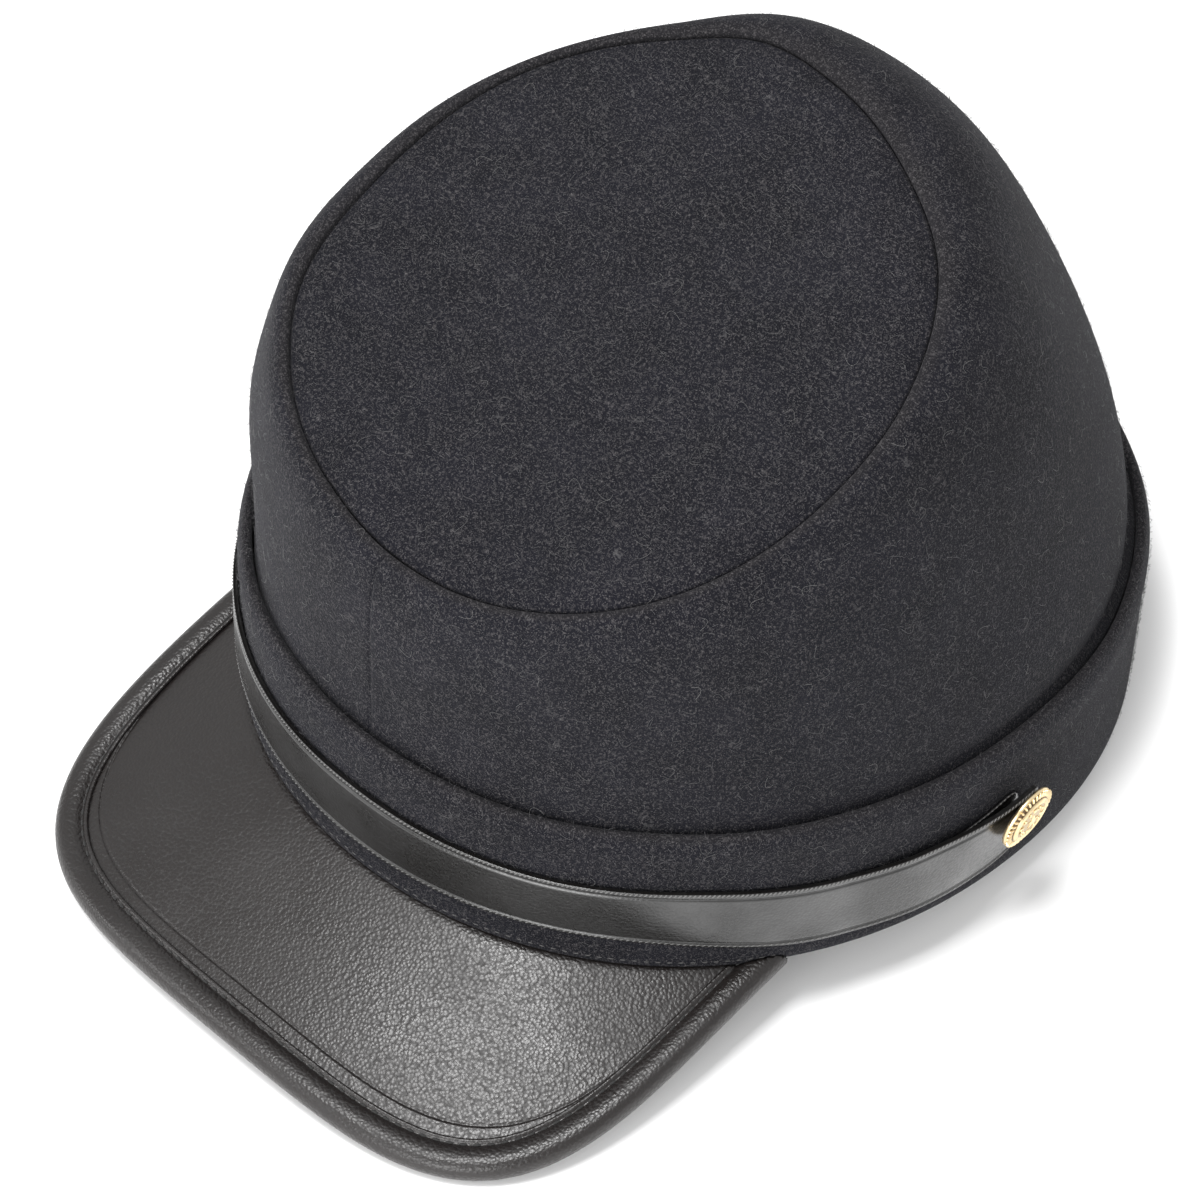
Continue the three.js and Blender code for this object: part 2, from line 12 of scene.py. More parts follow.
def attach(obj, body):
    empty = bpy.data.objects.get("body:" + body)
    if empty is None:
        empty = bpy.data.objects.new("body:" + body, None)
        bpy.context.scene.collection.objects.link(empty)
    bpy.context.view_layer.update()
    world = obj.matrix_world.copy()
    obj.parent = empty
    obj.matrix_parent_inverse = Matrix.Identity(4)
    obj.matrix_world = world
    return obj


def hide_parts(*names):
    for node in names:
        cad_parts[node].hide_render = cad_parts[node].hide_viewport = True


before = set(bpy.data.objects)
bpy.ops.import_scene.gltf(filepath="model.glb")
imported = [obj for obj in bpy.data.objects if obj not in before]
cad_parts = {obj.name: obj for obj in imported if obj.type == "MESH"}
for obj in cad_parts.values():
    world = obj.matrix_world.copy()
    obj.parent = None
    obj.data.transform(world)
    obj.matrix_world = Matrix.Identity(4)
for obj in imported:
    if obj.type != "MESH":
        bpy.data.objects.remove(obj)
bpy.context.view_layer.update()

# The sizes are millimetres in the cap's own frame, in which the band stands on z = 0, and angles go
# round the head from the front centre (0) over the wearer's left (90) to the back (180).
HEAD_HALF_LENGTH = 102.9
HEAD_HALF_WIDTH = 91.6
HEAD_SQUARENESS = 2.08
BAND_HEIGHT = 38.5
BAND_THICKNESS = 3.0
BAND_TAPER = 0.4
BAND_FORWARD_LEAN = 3.1
BAND_FRONT_DROP = 1.0
BAND_SIDE_DROP = 1.6
BAND_HEM = 0.6
BAND_SHOULDER = 4.2
DISC_HALF_LENGTH = 66.3
DISC_HALF_WIDTH = 63.8
DISC_TILT = math.radians(25.3)
DISC_CENTRE = np.array([0.0, -40.6, 113.9])
DISC_THICKNESS = 2.2
FELT_THICKNESS = 2.0
WALL_TUCK = 9.0
RIM_ROUND = 1.0
RIM_ROLL = 1.4
INNER_RIM = 0.93
ALLOWANCE_WIDTH = 5.0
ALLOWANCE_THICKNESS = 1.6
LARGEST_DENT = 3.0
VISOR_ROOT_ANGLE = 58.5
VISOR_REACH = 40.8
VISOR_SLOPE = math.radians(27.1)
VISOR_THICKNESS = 2.4
VISOR_FLANGE = 9.0
VISOR_CORNER_POWER = 4.4
VISOR_FRONT_BOW = 0.07
VISOR_RADIAL_SHARE = 0.72
VISOR_CORNER_CUT = 0.025
BINDING_WALL = 1.3
INNER_LINE = 8.0
STRAP_WIDTH = 17.0
STRAP_THICKNESS = 1.3
STRAP_EDGE = 0.4
STRAP_END = 4.0
STRAP_TOP_LIFT = 1.4
TAIL_THICKNESS = 0.7
TAIL_LENGTH = 24.0
TAIL_WIDTH = 11.0
TAIL_DROP = 0.5
TAIL_SLOPE = 0.13
TAIL_ROUND = 3.0
TAIL_PAST = 2.2
LIFT_RUN = 16.0
BUTTON_ANGLE = 87.8
BUTTON_RISE = 4.8
BUTTON_DROOP = math.radians(7.0)
BUTTON_TURN = math.radians(5.0)
SHANK_RADIUS = 2.0
CLEARANCE = 0.3

MM_PER_METRE = 1000

# How the cap lies on the floor: turned back about X, then moved, in millimetres
REST_TILT = math.radians(6.563)
REST_SHIFT = np.array([0.0, 20.983, 11.693])

# The disc's outline: angle, reach as a share of the plain oval
DISC_OUTLINE = [
    (0, 0.985), (25, 1.005), (50, 1.01), (85, 0.991), (108, 1.0), (132, 1.007), (154, 0.984),
    (178, 1.004), (195, 1.032), (212, 0.993), (240, 0.981), (272, 0.979), (296, 1.03),
    (312, 1.018), (342, 0.98),
]

# The wall's curve: angle, gap behind the band's top edge, rise, lean and shoulder
WALL_CURVE = [
    (0, 0.2, 0.35, 0.0, 0.1), (45, 0.25, 0.35, 0.0, 0.11), (90, 0.5, 0.32, 0.02, 0.14),
    (135, 0.85, 0.16, 0.0, 0.35), (180, 0.85, 0.2, 0.0, 0.4), (225, 0.7, 0.23, 0.0, 0.09),
    (270, 0.4, 0.36, 0.02, 0.13), (315, 0.25, 0.38, 0.02, 0.1),
]

# Soft dents of the wall: angle, height, half angle, half height, depth as a share of the largest
WALL_DENTS = [
    (112, 0.3, 14, 0.2, 0.9), (84, 0.25, 12, 0.18, 0.5), (140, 0.6, 12, 0.2, 0.4),
    (300, 0.3, 22, 0.3, -0.8), (160, 0.85, 16, 0.18, -0.9),
]

# The strap's run: angle, lower edge as a share of the band's height, breadth as a share of its width
STRAP_LINE = [
    (0, 0.195, 0.99), (15, 0.203, 0.94), (28, 0.216, 0.89), (40, 0.212, 0.92), (47, 0.186, 0.98),
    (54, 0.145, 1.02), (60, 0.117, 1.04), (66, 0.111, 1.04), (72, 0.123, 1.03), (79, 0.132, 1.03),
    (85, 0.16, 1.01), (91, 0.22, 0.95),
]

# The binding's upper profile from its tip inwards: across, up. The groove near 6.9 takes the stitches.
BINDING_PROFILE = [
    (0.05, 0.55), (0.2, 1.15), (0.55, 1.95), (1.05, 2.6), (1.7, 3.08), (2.5, 3.34), (3.4, 3.36),
    (4.3, 3.2), (5.1, 2.92), (5.8, 2.56), (6.3, 2.18), (6.6, 1.86), (6.85, 1.7), (7.1, 1.82),
    (7.35, 2.02), (7.7, 2.12), (8.0, 2.02), (8.17, 1.8), (8.2, 1.5), (1.3, 1.5),
]
BINDING_GROOVE = 6.86
GROOVE_UP = 1.82

# The button's profile from under its rim over the fluted border and double ring to its centre:
# out, height
BUTTON_PROFILE = [
    (2.0, 0.0), (6.6, 0.0), (7.15, 0.15), (7.38, 0.45), (7.42, 0.8), (7.3, 1.12), (7.1, 1.28),
    (6.8, 1.36), (6.4, 1.44), (5.9, 1.54), (5.6, 1.64), (5.5, 1.96), (5.36, 2.12), (5.2, 2.22),
    (5.04, 2.12), (4.92, 2.0), (4.8, 2.12), (4.64, 2.24), (4.48, 2.14), (4.34, 2.0), (3.6, 2.1),
    (2.6, 2.24), (1.4, 2.34), (0.0, 2.38),
]

FLUTES_FROM = 5.55
FLUTES_TO = 7.2
WREATH_REACH = 4.4

# The photograph's camera, in the cap's own frame: degrees, millimetres and pixels of 1200
CAMERA_AZIMUTH = 37.298
CAMERA_ELEVATION = 44.190
CAMERA_ROLL = 7.654
CAMERA_DISTANCE = 955.94
CAMERA_FOCUS = 4332.24
CAMERA_CENTRE = (693.28, 626.34)
PHOTO_SIDE = 1200.0
SENSOR = 36.0

SEED = 11


def around(table, column, angle):
    """A table's column at any angle, by a smooth curve through its rows that closes on itself."""
    places = np.array([row[0] for row in table], float)
    values = np.array([row[column] for row in table], float)
    turn = np.mod(np.asarray(angle, float), 360.0)
    count = len(table)
    low = np.searchsorted(places, turn, side="right") - 1
    low = np.where(low < 0, count - 1, low)

    def at(k):
        lap = k // count
        return places[k - lap * count] + 360.0 * lap, values[k - lap * count]

    (a_at, a), (b_at, b), (c_at, c), (d_at, d) = (at(low + step) for step in (-1, 0, 1, 2))
    place = np.where(turn < b_at, turn + 360.0, turn)
    width = c_at - b_at
    s = (place - b_at) / width
    slope_b = (c - a) / (c_at - a_at) * width
    slope_c = (d - b) / (d_at - b_at) * width
    return ((2 * s**3 - 3 * s**2 + 1) * b + (s**3 - 2 * s**2 + s) * slope_b
            + (3 * s**2 - 2 * s**3) * c + (s**3 - s**2) * slope_c)


def bell(value, middle, width):
    return np.exp(-((value - middle) / width) ** 2)


def smoothstep(value, low, high):
    share = np.clip((value - low) / (high - low), 0.0, 1.0)
    return share * share * (3.0 - 2.0 * share)


def signed_power(value, power):
    return np.sign(value) * np.abs(value) ** power


def unit(vectors):
    return vectors / np.linalg.norm(vectors, axis=-1, keepdims=True)


def turned(vectors):
    """Directions of the cap's own frame in the row frame."""
    cos, sin = math.cos(REST_TILT), math.sin(REST_TILT)
    x, y, z = np.moveaxis(np.asarray(vectors, float), -1, 0)
    return np.stack([x, y * cos + z * sin, z * cos - y * sin], axis=-1)


def placed(points):
    """Points of the cap's own frame, in millimetres, in the row frame, in metres."""
    return (turned(points) + REST_SHIFT) / MM_PER_METRE


def band_point(angle, height, out=0.0):
    """A point by the outer face of the band: angle, height over its lower edge, distance off it."""
    angle, height, out = np.broadcast_arrays(*(np.asarray(v, float) for v in (angle, height, out)))
    share = height / BAND_HEIGHT
    half_length, half_width = HEAD_HALF_LENGTH - BAND_TAPER * share, HEAD_HALF_WIDTH - BAND_TAPER * share
    s, c = np.sin(np.radians(angle)), np.cos(np.radians(angle))
    power, slant = 2 / HEAD_SQUARENESS, 2 - 2 / HEAD_SQUARENESS
    plan = np.stack([half_width * signed_power(s, power), -half_length * signed_power(c, power)], -1)
    normal = np.stack([signed_power(s, slant) / half_width, -signed_power(c, slant) / half_length], -1)
    plan = plan + unit(normal) * out[..., None]
    return np.stack([plan[..., 0], plan[..., 1] - BAND_FORWARD_LEAN * share, height], axis=-1)


def band_outward(angle, height):
    return unit(band_point(angle, height, 1.0) - band_point(angle, height, 0.0))


def edge_drop(angle):
    """How far the band's lower edge dips at an angle."""
    a = np.radians(angle)
    return BAND_FRONT_DROP * np.maximum(0.0, np.cos(a)) ** 2 + BAND_SIDE_DROP * np.sin(a) ** 2


DISC_BACK = np.array([0.0, math.cos(DISC_TILT), math.sin(DISC_TILT)])
DISC_UP = np.array([0.0, -math.sin(DISC_TILT), math.cos(DISC_TILT)])


def disc_plan(angle):
    reach = around(DISC_OUTLINE, 1, angle)
    a = np.radians(angle)
    return np.stack([DISC_HALF_WIDTH * reach * np.sin(a), -DISC_HALF_LENGTH * reach * np.cos(a)], -1)


def disc_outward(angle):
    along = unit(disc_plan(angle + 1.0) - disc_plan(angle - 1.0))
    return np.stack([along[..., 1], -along[..., 0]], axis=-1)


def disc_point(plan, up):
    up = np.asarray(up, float)[..., None]
    across = plan[..., :1] * np.array([1.0, 0.0, 0.0])
    return DISC_CENTRE + across + plan[..., 1:] * DISC_BACK + up * DISC_UP


def rim_plan(angle, out):
    return disc_plan(angle) + disc_outward(angle) * np.asarray(out, float)[..., None]


def rim_point(angle, out, up):
    """A point by the rim seam: angle, distance outside it in the disc's plane, height over the disc."""
    angle, out, up = np.broadcast_arrays(*(np.asarray(v, float) for v in (angle, out, up)))
    return disc_point(rim_plan(angle, out), up)


def plain_wall(angle, share):
    """The wall's outer face without its dents: share 0 at the band's top edge, 1 at the rim."""
    angle, share = np.broadcast_arrays(np.asarray(angle, float), np.asarray(share, float))
    gap = around(WALL_CURVE, 1, angle) * BAND_THICKNESS
    start = band_point(angle, BAND_HEIGHT, -(BAND_THICKNESS + gap))
    end = rim_point(angle, RIM_ROUND, 0.0)
    length = np.linalg.norm(end - start, axis=-1)
    outward = unit(band_point(angle, BAND_HEIGHT, 0.0) - start)
    lower = start + outward * (around(WALL_CURVE, 3, angle) * length)[..., None]
    lower[..., 2] += around(WALL_CURVE, 2, angle) * length
    run = disc_outward(angle) * (around(WALL_CURVE, 4, angle) * DISC_HALF_LENGTH)[..., None]
    upper = end + run[..., 1:] * DISC_BACK + RIM_ROLL * DISC_UP
    upper[..., 0] += run[..., 0]
    t = share[..., None]
    return ((1 - t) ** 3 * start + 3 * t * (1 - t) ** 2 * lower
            + 3 * t**2 * (1 - t) * upper + t**3 * end)


def wall_normal(angle, share):
    low, high = np.maximum(0.0, share - 0.02), np.minimum(1.0, share + 0.02)
    around_it = plain_wall(angle + 1.5, share) - plain_wall(angle - 1.5, share)
    return unit(np.cross(around_it, plain_wall(angle, high) - plain_wall(angle, low)))


def signed_turn(angle):
    return np.mod(angle + 180.0, 360.0) - 180.0


def dent_depth(angle, share):
    depth = np.zeros(np.broadcast(angle, share).shape)
    for place, height, spread, reach, size in WALL_DENTS:
        across = signed_turn(angle - place) / spread
        climb = (share - height) / reach
        depth = depth + size * LARGEST_DENT * np.exp(-across**2 - climb**2)
    return depth


def wall_point(angle, share, inward, seam=0.0):
    """The wall with its dents, a soft unevenness, and the front seam as deep as seam."""
    fade = np.sin(np.pi * np.clip(share, 0.0, 1.0))
    a = np.radians(angle)
    sway = 0.32 * np.sin(5 * a + 3.1 * share) + 0.22 * np.sin(11 * a - 5.0 * share + 1.0)
    sideways = signed_turn(angle) * math.radians(1.0) * HEAD_HALF_LENGTH
    groove = seam * (bell(sideways, 0.0, 0.5) - 0.3 * bell(np.abs(sideways), 2.2, 1.2))
    depth = inward + fade * (dent_depth(angle, share) - sway) + groove
    return plain_wall(angle, share) - wall_normal(angle, share) * depth[..., None]


def body(name, rows, ring=False, loop=True, edge=None):
    """A mesh from rows of equal sections. ring joins the last row to the first, and otherwise lids
    close both ends; loop closes each section. edge is a value for each point, 1 on edges drawn lighter:
    worn ones on the felt."""
    rows = np.asarray(rows, float)
    count, size = rows.shape[:2]
    i, j = np.meshgrid(
        np.arange(count if ring else count - 1), np.arange(size if loop else size - 1), indexing="ij")
    i, j = i.ravel(), j.ravel()
    following, beside = (i + 1) % count, (j + 1) % size
    quads = np.stack(
        [i * size + j, following * size + j, following * size + beside, i * size + beside], axis=-1)
    faces = quads.tolist()
    if not ring and loop:
        faces.append(list(range(size)))
        faces.append(list(range((count - 1) * size, count * size)))
    mesh = bpy.data.meshes.new(name)
    mesh.from_pydata(placed(rows).reshape(-1, 3).tolist(), [], faces)
    along = np.linalg.norm(rows - np.roll(rows, 1, axis=0), axis=-1).mean(axis=1)
    across = np.linalg.norm(rows - np.roll(rows, 1, axis=1), axis=-1).mean(axis=0)
    along = np.concatenate([[0.0], np.cumsum(np.append(along[1:], along[0]))]) / MM_PER_METRE
    across = np.concatenate([[0.0], np.cumsum(np.append(across[1:], across[0]))]) / MM_PER_METRE
    uv = np.stack([along[[i, i + 1, i + 1, i]], across[[j, j, j + 1, j + 1]]], axis=-1)
    layer = mesh.uv_layers.new(name="along and across")
    filled = np.zeros((len(mesh.loops), 2))
    filled[:uv.shape[1] * 4] = np.moveaxis(uv, 0, 1).reshape(-1, 2)
    layer.data.foreach_set("uv", filled.ravel())
    if edge is not None:
        mark = mesh.attributes.new("edge", "FLOAT", "POINT")
        mark.data.foreach_set("value", np.broadcast_to(edge, (count, size)).ravel())
    return tidied(mesh)


def tidied(mesh):
    """The mesh with its poles and seams closed and every face looking out, shaded smooth."""
    work = bmesh.new()
    work.from_mesh(mesh)
    bmesh.ops.remove_doubles(work, verts=work.verts, dist=1e-6)
    bmesh.ops.recalc_face_normals(work, faces=work.faces)
    work.to_mesh(mesh)
    work.free()
    mesh.shade_smooth()
    return mesh


def in_scene(name, data):
    """A new object of the scene, at the origin, that shows this mesh, lamp or camera."""
    thing = bpy.data.objects.new(name, data)
    bpy.context.scene.collection.objects.link(thing)
    return thing


def oriented(right, up, back, place, parts=1):
    """The matrix that turns X, Y and Z to these directions and moves to a place. parts is how many
    units of the drawing make one of the scene."""
    rows = [[right[k] / parts, up[k] / parts, back[k] / parts, place[k]] for k in range(3)]
    return Matrix(rows + [[0, 0, 0, 1]])


def shown(name, mesh, material, replaces=None):
    """A finished piece of the cap, which takes the place of the solid that replaces names."""
    name = name.replace(" ", "_") + ("_finished" if replaces else "")
    mesh.name = name
    mesh.materials.clear()
    mesh.materials.append(material)
    piece = in_scene(name, mesh)
    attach(piece, "root")
    if replaces:
        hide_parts(replaces)


# Node trees

SHORTEST_FIBRE = 0.45


def pick(sockets, key):
    if isinstance(key, int):
        return sockets[key]
    named = [socket for socket in sockets if socket.name == key]
    return next((socket for socket in named if socket.enabled), named[0])


def node(tree, kind, inputs=None, **settings):
    """A new node with its settings, and its inputs linked or set."""
    made = tree.nodes.new(kind)
    for key, value in settings.items():
        setattr(made, key, value)
    for key, value in (inputs or {}).items():
        socket = pick(made.inputs, key)
        if isinstance(value, bpy.types.NodeSocket):
            tree.links.new(value, socket)
        else:
            socket.default_value = value
    return made


def maths(tree, operation, *values):
    made = node(tree, "ShaderNodeMath", dict(enumerate(values)), operation=operation)
    return made.outputs[0]


def random_number(tree, low, high, seed):
    made = node(tree, "FunctionNodeRandomValue", {2: low, 3: high, 8: seed}, data_type="FLOAT")
    return made.outputs[1]


def new_group(kind, name, inputs, outputs):
    """A named node group with its inputs and outputs, and its two end nodes."""
    tree = bpy.data.node_groups.new(name, kind)
    for label, socket_kind, value in inputs:
        socket = tree.interface.new_socket(
            label, in_out="INPUT", socket_type=f"NodeSocket{socket_kind}")
        if value is not None:
            socket.default_value = value
    for label, socket_kind in outputs:
        tree.interface.new_socket(label, in_out="OUTPUT", socket_type=f"NodeSocket{socket_kind}")
    return tree, tree.nodes.new("NodeGroupInput").outputs, tree.nodes.new("NodeGroupOutput").inputs


def grown(base, tree, values):
    """The plain mesh that the tree makes of the base mesh with these values for its named inputs."""
    carrier = in_scene("carrier", base)
    modifier = carrier.modifiers.new("growth", "NODES")
    modifier.node_group = tree
    for item in tree.interface.items_tree:
        if item.in_out == "INPUT" and item.name in values:
            modifier[item.identifier] = values[item.name]
    graph = bpy.context.evaluated_depsgraph_get()
    mesh = bpy.data.meshes.new_from_object(carrier.evaluated_get(graph), depsgraph=graph)
    carrier.modifiers.remove(modifier)
    bpy.data.objects.remove(carrier)
    return mesh


def spun(tree, rotation, angle):
    """The rotation with a further turn about its own Z."""
    turn = node(tree, "FunctionNodeAxisAngleToRotation", {"Axis": (0.0, 0.0, 1.0), "Angle": angle})
    made = node(tree, "FunctionNodeRotateRotation", {0: rotation, 1: turn.outputs[0]},
                rotation_space="LOCAL")
    return made.outputs[0]


def finished(tree, geometry, material, end):
    real = node(tree, "GeometryNodeRealizeInstances", {"Geometry": geometry})
    painted = node(tree, "GeometryNodeSetMaterial", {"Geometry": real.outputs[0], "Material": material})
    tree.links.new(painted.outputs[0], end["Geometry"])


def stitch_tree():
    """Rounded stitches at even spacing along a path, lying on the surface that it follows."""
    tree, start, end = new_group("GeometryNodeTree", "Stitches along a path", [
        ("Geometry", "Geometry", None), ("Spacing", "Float", 0.003),
        ("Size", "Vector", (0.002, 0.0004, 0.0004)),
        ("Slant", "Float", 0.0), ("Unevenness", "Float", 0.06), ("Seed", "Int", SEED),
        ("Material", "Material", None),
    ], [("Geometry", "Geometry")])
    curve = node(tree, "GeometryNodeMeshToCurve", {"Mesh": start["Geometry"]})
    even = node(tree, "GeometryNodeResampleCurve", {
        "Curve": curve.outputs[0], "Length": start["Spacing"]}, mode="LENGTH")
    ball = node(tree, "GeometryNodeMeshUVSphere", {"Segments": 8, "Rings": 6, "Radius": 0.5})
    normal = node(tree, "GeometryNodeInputNamedAttribute", {"Name": "surface_normal"},
                  data_type="FLOAT_VECTOR")
    axes = node(tree, "FunctionNodeAxesToRotation", {
        "Primary Axis": node(tree, "GeometryNodeInputTangent").outputs[0],
        "Secondary Axis": pick(normal.outputs, "Attribute")}, primary_axis="X", secondary_axis="Z")
    least = maths(tree, "MULTIPLY", start["Unevenness"], -1.0)
    spread = random_number(tree, least, start["Unevenness"], start["Seed"])
    angle = maths(tree, "ADD", start["Slant"], spread)
    rows = node(tree, "GeometryNodeInstanceOnPoints", {
        "Points": even.outputs[0], "Instance": ball.outputs[0],
        "Rotation": spun(tree, axes.outputs[0], angle), "Scale": start["Size"]})
    finished(tree, rows.outputs[0], start["Material"], end)
    return tree


def fibre_tree():
    """Short bent fibres scattered over a surface, each with its own direction, size and shade."""
    tree, start, end = new_group("GeometryNodeTree", "Fibres on a surface", [
        ("Geometry", "Geometry", None), ("Density", "Float", 1000.0), ("Length", "Float", 0.001),
        ("Thickness", "Float", 0.04), ("Middle", "Vector", (0.3, 0.1, 0.5)),
        ("End", "Vector", (0.7, 0.0, 0.6)), ("Steps", "Int", 2), ("Seed", "Int", SEED),
        ("Material", "Material", None),
    ], [("Geometry", "Geometry")])
    points = node(tree, "GeometryNodeDistributePointsOnFaces", {
        "Mesh": start["Geometry"], "Density": start["Density"], "Seed": start["Seed"]},
        distribute_method="RANDOM")
    bend = node(tree, "GeometryNodeCurveQuadraticBezier", {
        "Resolution": start["Steps"], "Start": (0.0, 0.0, -0.02), "Middle": start["Middle"],
        "End": start["End"]})
    thread = node(tree, "GeometryNodeCurvePrimitiveCircle", {
        "Resolution": 3, "Radius": start["Thickness"]})
    hair = node(tree, "GeometryNodeCurveToMesh", {
        "Curve": bend.outputs[0], "Profile Curve": thread.outputs[0]})
    angle = random_number(tree, 0.0, 2 * math.pi, start["Seed"])
    shortest = maths(tree, "MULTIPLY", start["Length"], SHORTEST_FIBRE)
    size = random_number(tree, shortest, start["Length"], maths(tree, "ADD", start["Seed"], 1.0))
    hairs = node(tree, "GeometryNodeInstanceOnPoints", {
        "Points": points.outputs["Points"], "Instance": hair.outputs[0],
        "Rotation": spun(tree, points.outputs["Rotation"], angle), "Scale": size})
    shade = random_number(tree, 0.0, 1.0, maths(tree, "ADD", start["Seed"], 2.0))
    kept = node(tree, "GeometryNodeStoreNamedAttribute", {
        "Geometry": hairs.outputs[0], "Name": "shade", "Value": shade},
        data_type="FLOAT", domain="INSTANCE")
    finished(tree, kept.outputs[0], start["Material"], end)
    return tree


def bead_tree():
    """Rounded beads round a circle about Z, long side outwards or turned, as flutes and leaves."""
    tree, start, end = new_group("GeometryNodeTree", "Beads round a circle", [
        ("Geometry", "Geometry", None), ("Count", "Int", 40), ("Radius", "Float", 0.006),
        ("Height", "Float", 0.001), ("Turn", "Float", 0.0), ("Size", "Vector", (0.002, 0.0005, 0.0004)),
        ("Material", "Material", None),
    ], [("Geometry", "Geometry")])
    circle = node(tree, "GeometryNodeMeshCircle", {
        "Vertices": start["Count"], "Radius": start["Radius"]})
    ball = node(tree, "GeometryNodeMeshUVSphere", {"Segments": 10, "Rings": 8, "Radius": 0.5})
    axes = node(tree, "FunctionNodeAxesToRotation", {
        "Primary Axis": node(tree, "GeometryNodeInputPosition").outputs[0],
        "Secondary Axis": (0.0, 0.0, 1.0)}, primary_axis="X", secondary_axis="Z")
    beads = node(tree, "GeometryNodeInstanceOnPoints", {
        "Points": circle.outputs[0], "Instance": ball.outputs[0],
        "Rotation": spun(tree, axes.outputs[0], start["Turn"]), "Scale": start["Size"]})
    lift = node(tree, "ShaderNodeCombineXYZ", {"Z": start["Height"]})
    raised = node(tree, "GeometryNodeTransform", {
        "Geometry": beads.outputs[0], "Translation": lift.outputs[0]})
    finished(tree, raised.outputs[0], start["Material"], end)
    return tree


def path_mesh(name, points, normals):
    """A polyline for the stitches, with the surface's direction at each point."""
    mesh = bpy.data.meshes.new(name)
    edges = [(k, k + 1) for k in range(len(points) - 1)]
    mesh.from_pydata(placed(points).tolist(), edges, [])
    mark = mesh.attributes.new("surface_normal", "FLOAT_VECTOR", "POINT")
    mark.data.foreach_set("vector", turned(normals).ravel())
    return mesh


def sewn(name, points, outward, thread, values):
    """A row of stitches in this thread along points of a surface that faces outward."""
    made = grown(path_mesh(name, points, outward), stitches, {**values, "Material": thread})
    shown(name, made, thread)


# Materials: the fleck and grain patterns are shared groups that read the object's own coordinates.
# The colours are linear red, green and blue.

FELT_LOW = (0.0022, 0.0024, 0.0046)
FELT_HIGH = (0.0042, 0.0044, 0.0076)
FELT_WORN = (0.012, 0.011, 0.0115)
FELT_FLECK = (0.072, 0.068, 0.07)
FELT_FIBRE = (0.1, 0.098, 0.1)
VISOR_BASE = (0.01, 0.0079, 0.0074)
STRAP_BASE = (0.004, 0.0036, 0.0033)
BRASS_LOW = (0.86, 0.66, 0.38)
BRASS_HIGH = (0.95, 0.79, 0.5)
# Painted shade for the button's recesses
BRASS_RECESS_SHADE = (0.09, 0.055, 0.025)
FEW_LIGHT_FIBRES = 1.8


def ramp(tree, value, low, high, to_low=0.0, to_high=1.0):
    made = node(tree, "ShaderNodeMapRange", {
        "Value": value, "From Min": low, "From Max": high, "To Min": to_low, "To Max": to_high})
    return made.outputs[0]


def noise(tree, vector, scale, detail=2.0, distortion=0.0):
    made = node(tree, "ShaderNodeTexNoise", {
        "Vector": vector, "Scale": scale, "Detail": detail, "Distortion": distortion})
    return made.outputs[0]


def opaque(tone):
    return (*tone, 1.0) if isinstance(tone, tuple) else tone


def shaded(tone, share):
    return tuple(share * value for value in tone)


def mixed(tree, share, one, other):
    made = node(tree, "ShaderNodeMix", {0: share, 6: opaque(one), 7: opaque(other)}, data_type="RGBA")
    return made.outputs[2]


def marked(tree, name):
    """The value that the piece's own mesh keeps under this name."""
    return node(tree, "ShaderNodeAttribute", attribute_name=name).outputs["Fac"]


def placed_group(tree, group, place):
    """A shared pattern in a material, on the object's own coordinates."""
    pattern = node(tree, "ShaderNodeGroup", {}, node_tree=group)
    tree.links.new(place, pattern.inputs["Vector"])
    return pattern


def felt_group():
    """Felt seen close: salt-and-pepper flecks, curly light fibres, soft blotches and a rough height."""
    tree, start, end = new_group("ShaderNodeTree", "Felt flecks", [
        ("Vector", "Vector", None), ("Fleck Scale", "Float", 3500.0), ("Fibre Scale", "Float", 150.0),
    ], [("Fleck", "Float"), ("Fibre", "Float"), ("Blotch", "Float"), ("Height", "Float")])
    vector = start["Vector"]
    fine = noise(tree, vector, start["Fleck Scale"], 1.0)
    soft = noise(tree, vector, 1500.0, 2.0)
    specks = maths(tree, "ADD", ramp(tree, fine, 0.56, 0.8), ramp(tree, soft, 0.53, 0.8, 0.0, 0.55))
    tree.links.new(specks, end["Fleck"])
    line = maths(tree, "ABSOLUTE", maths(tree, "SUBTRACT",
                 noise(tree, vector, start["Fibre Scale"], 3.0, 1.2), 0.5))
    thin = ramp(tree, line, 0.0, 0.012, 1.0, 0.0)
    broken = ramp(tree, noise(tree, vector, 210.0, 1.0), 0.56, 0.66)
    tree.links.new(maths(tree, "MULTIPLY", thin, broken), end["Fibre"])
    tree.links.new(noise(tree, vector, 75.0, 3.0), end["Blotch"])
    tree.links.new(maths(tree, "ADD", maths(tree, "MULTIPLY", fine, 0.6), soft), end["Height"])
    return tree


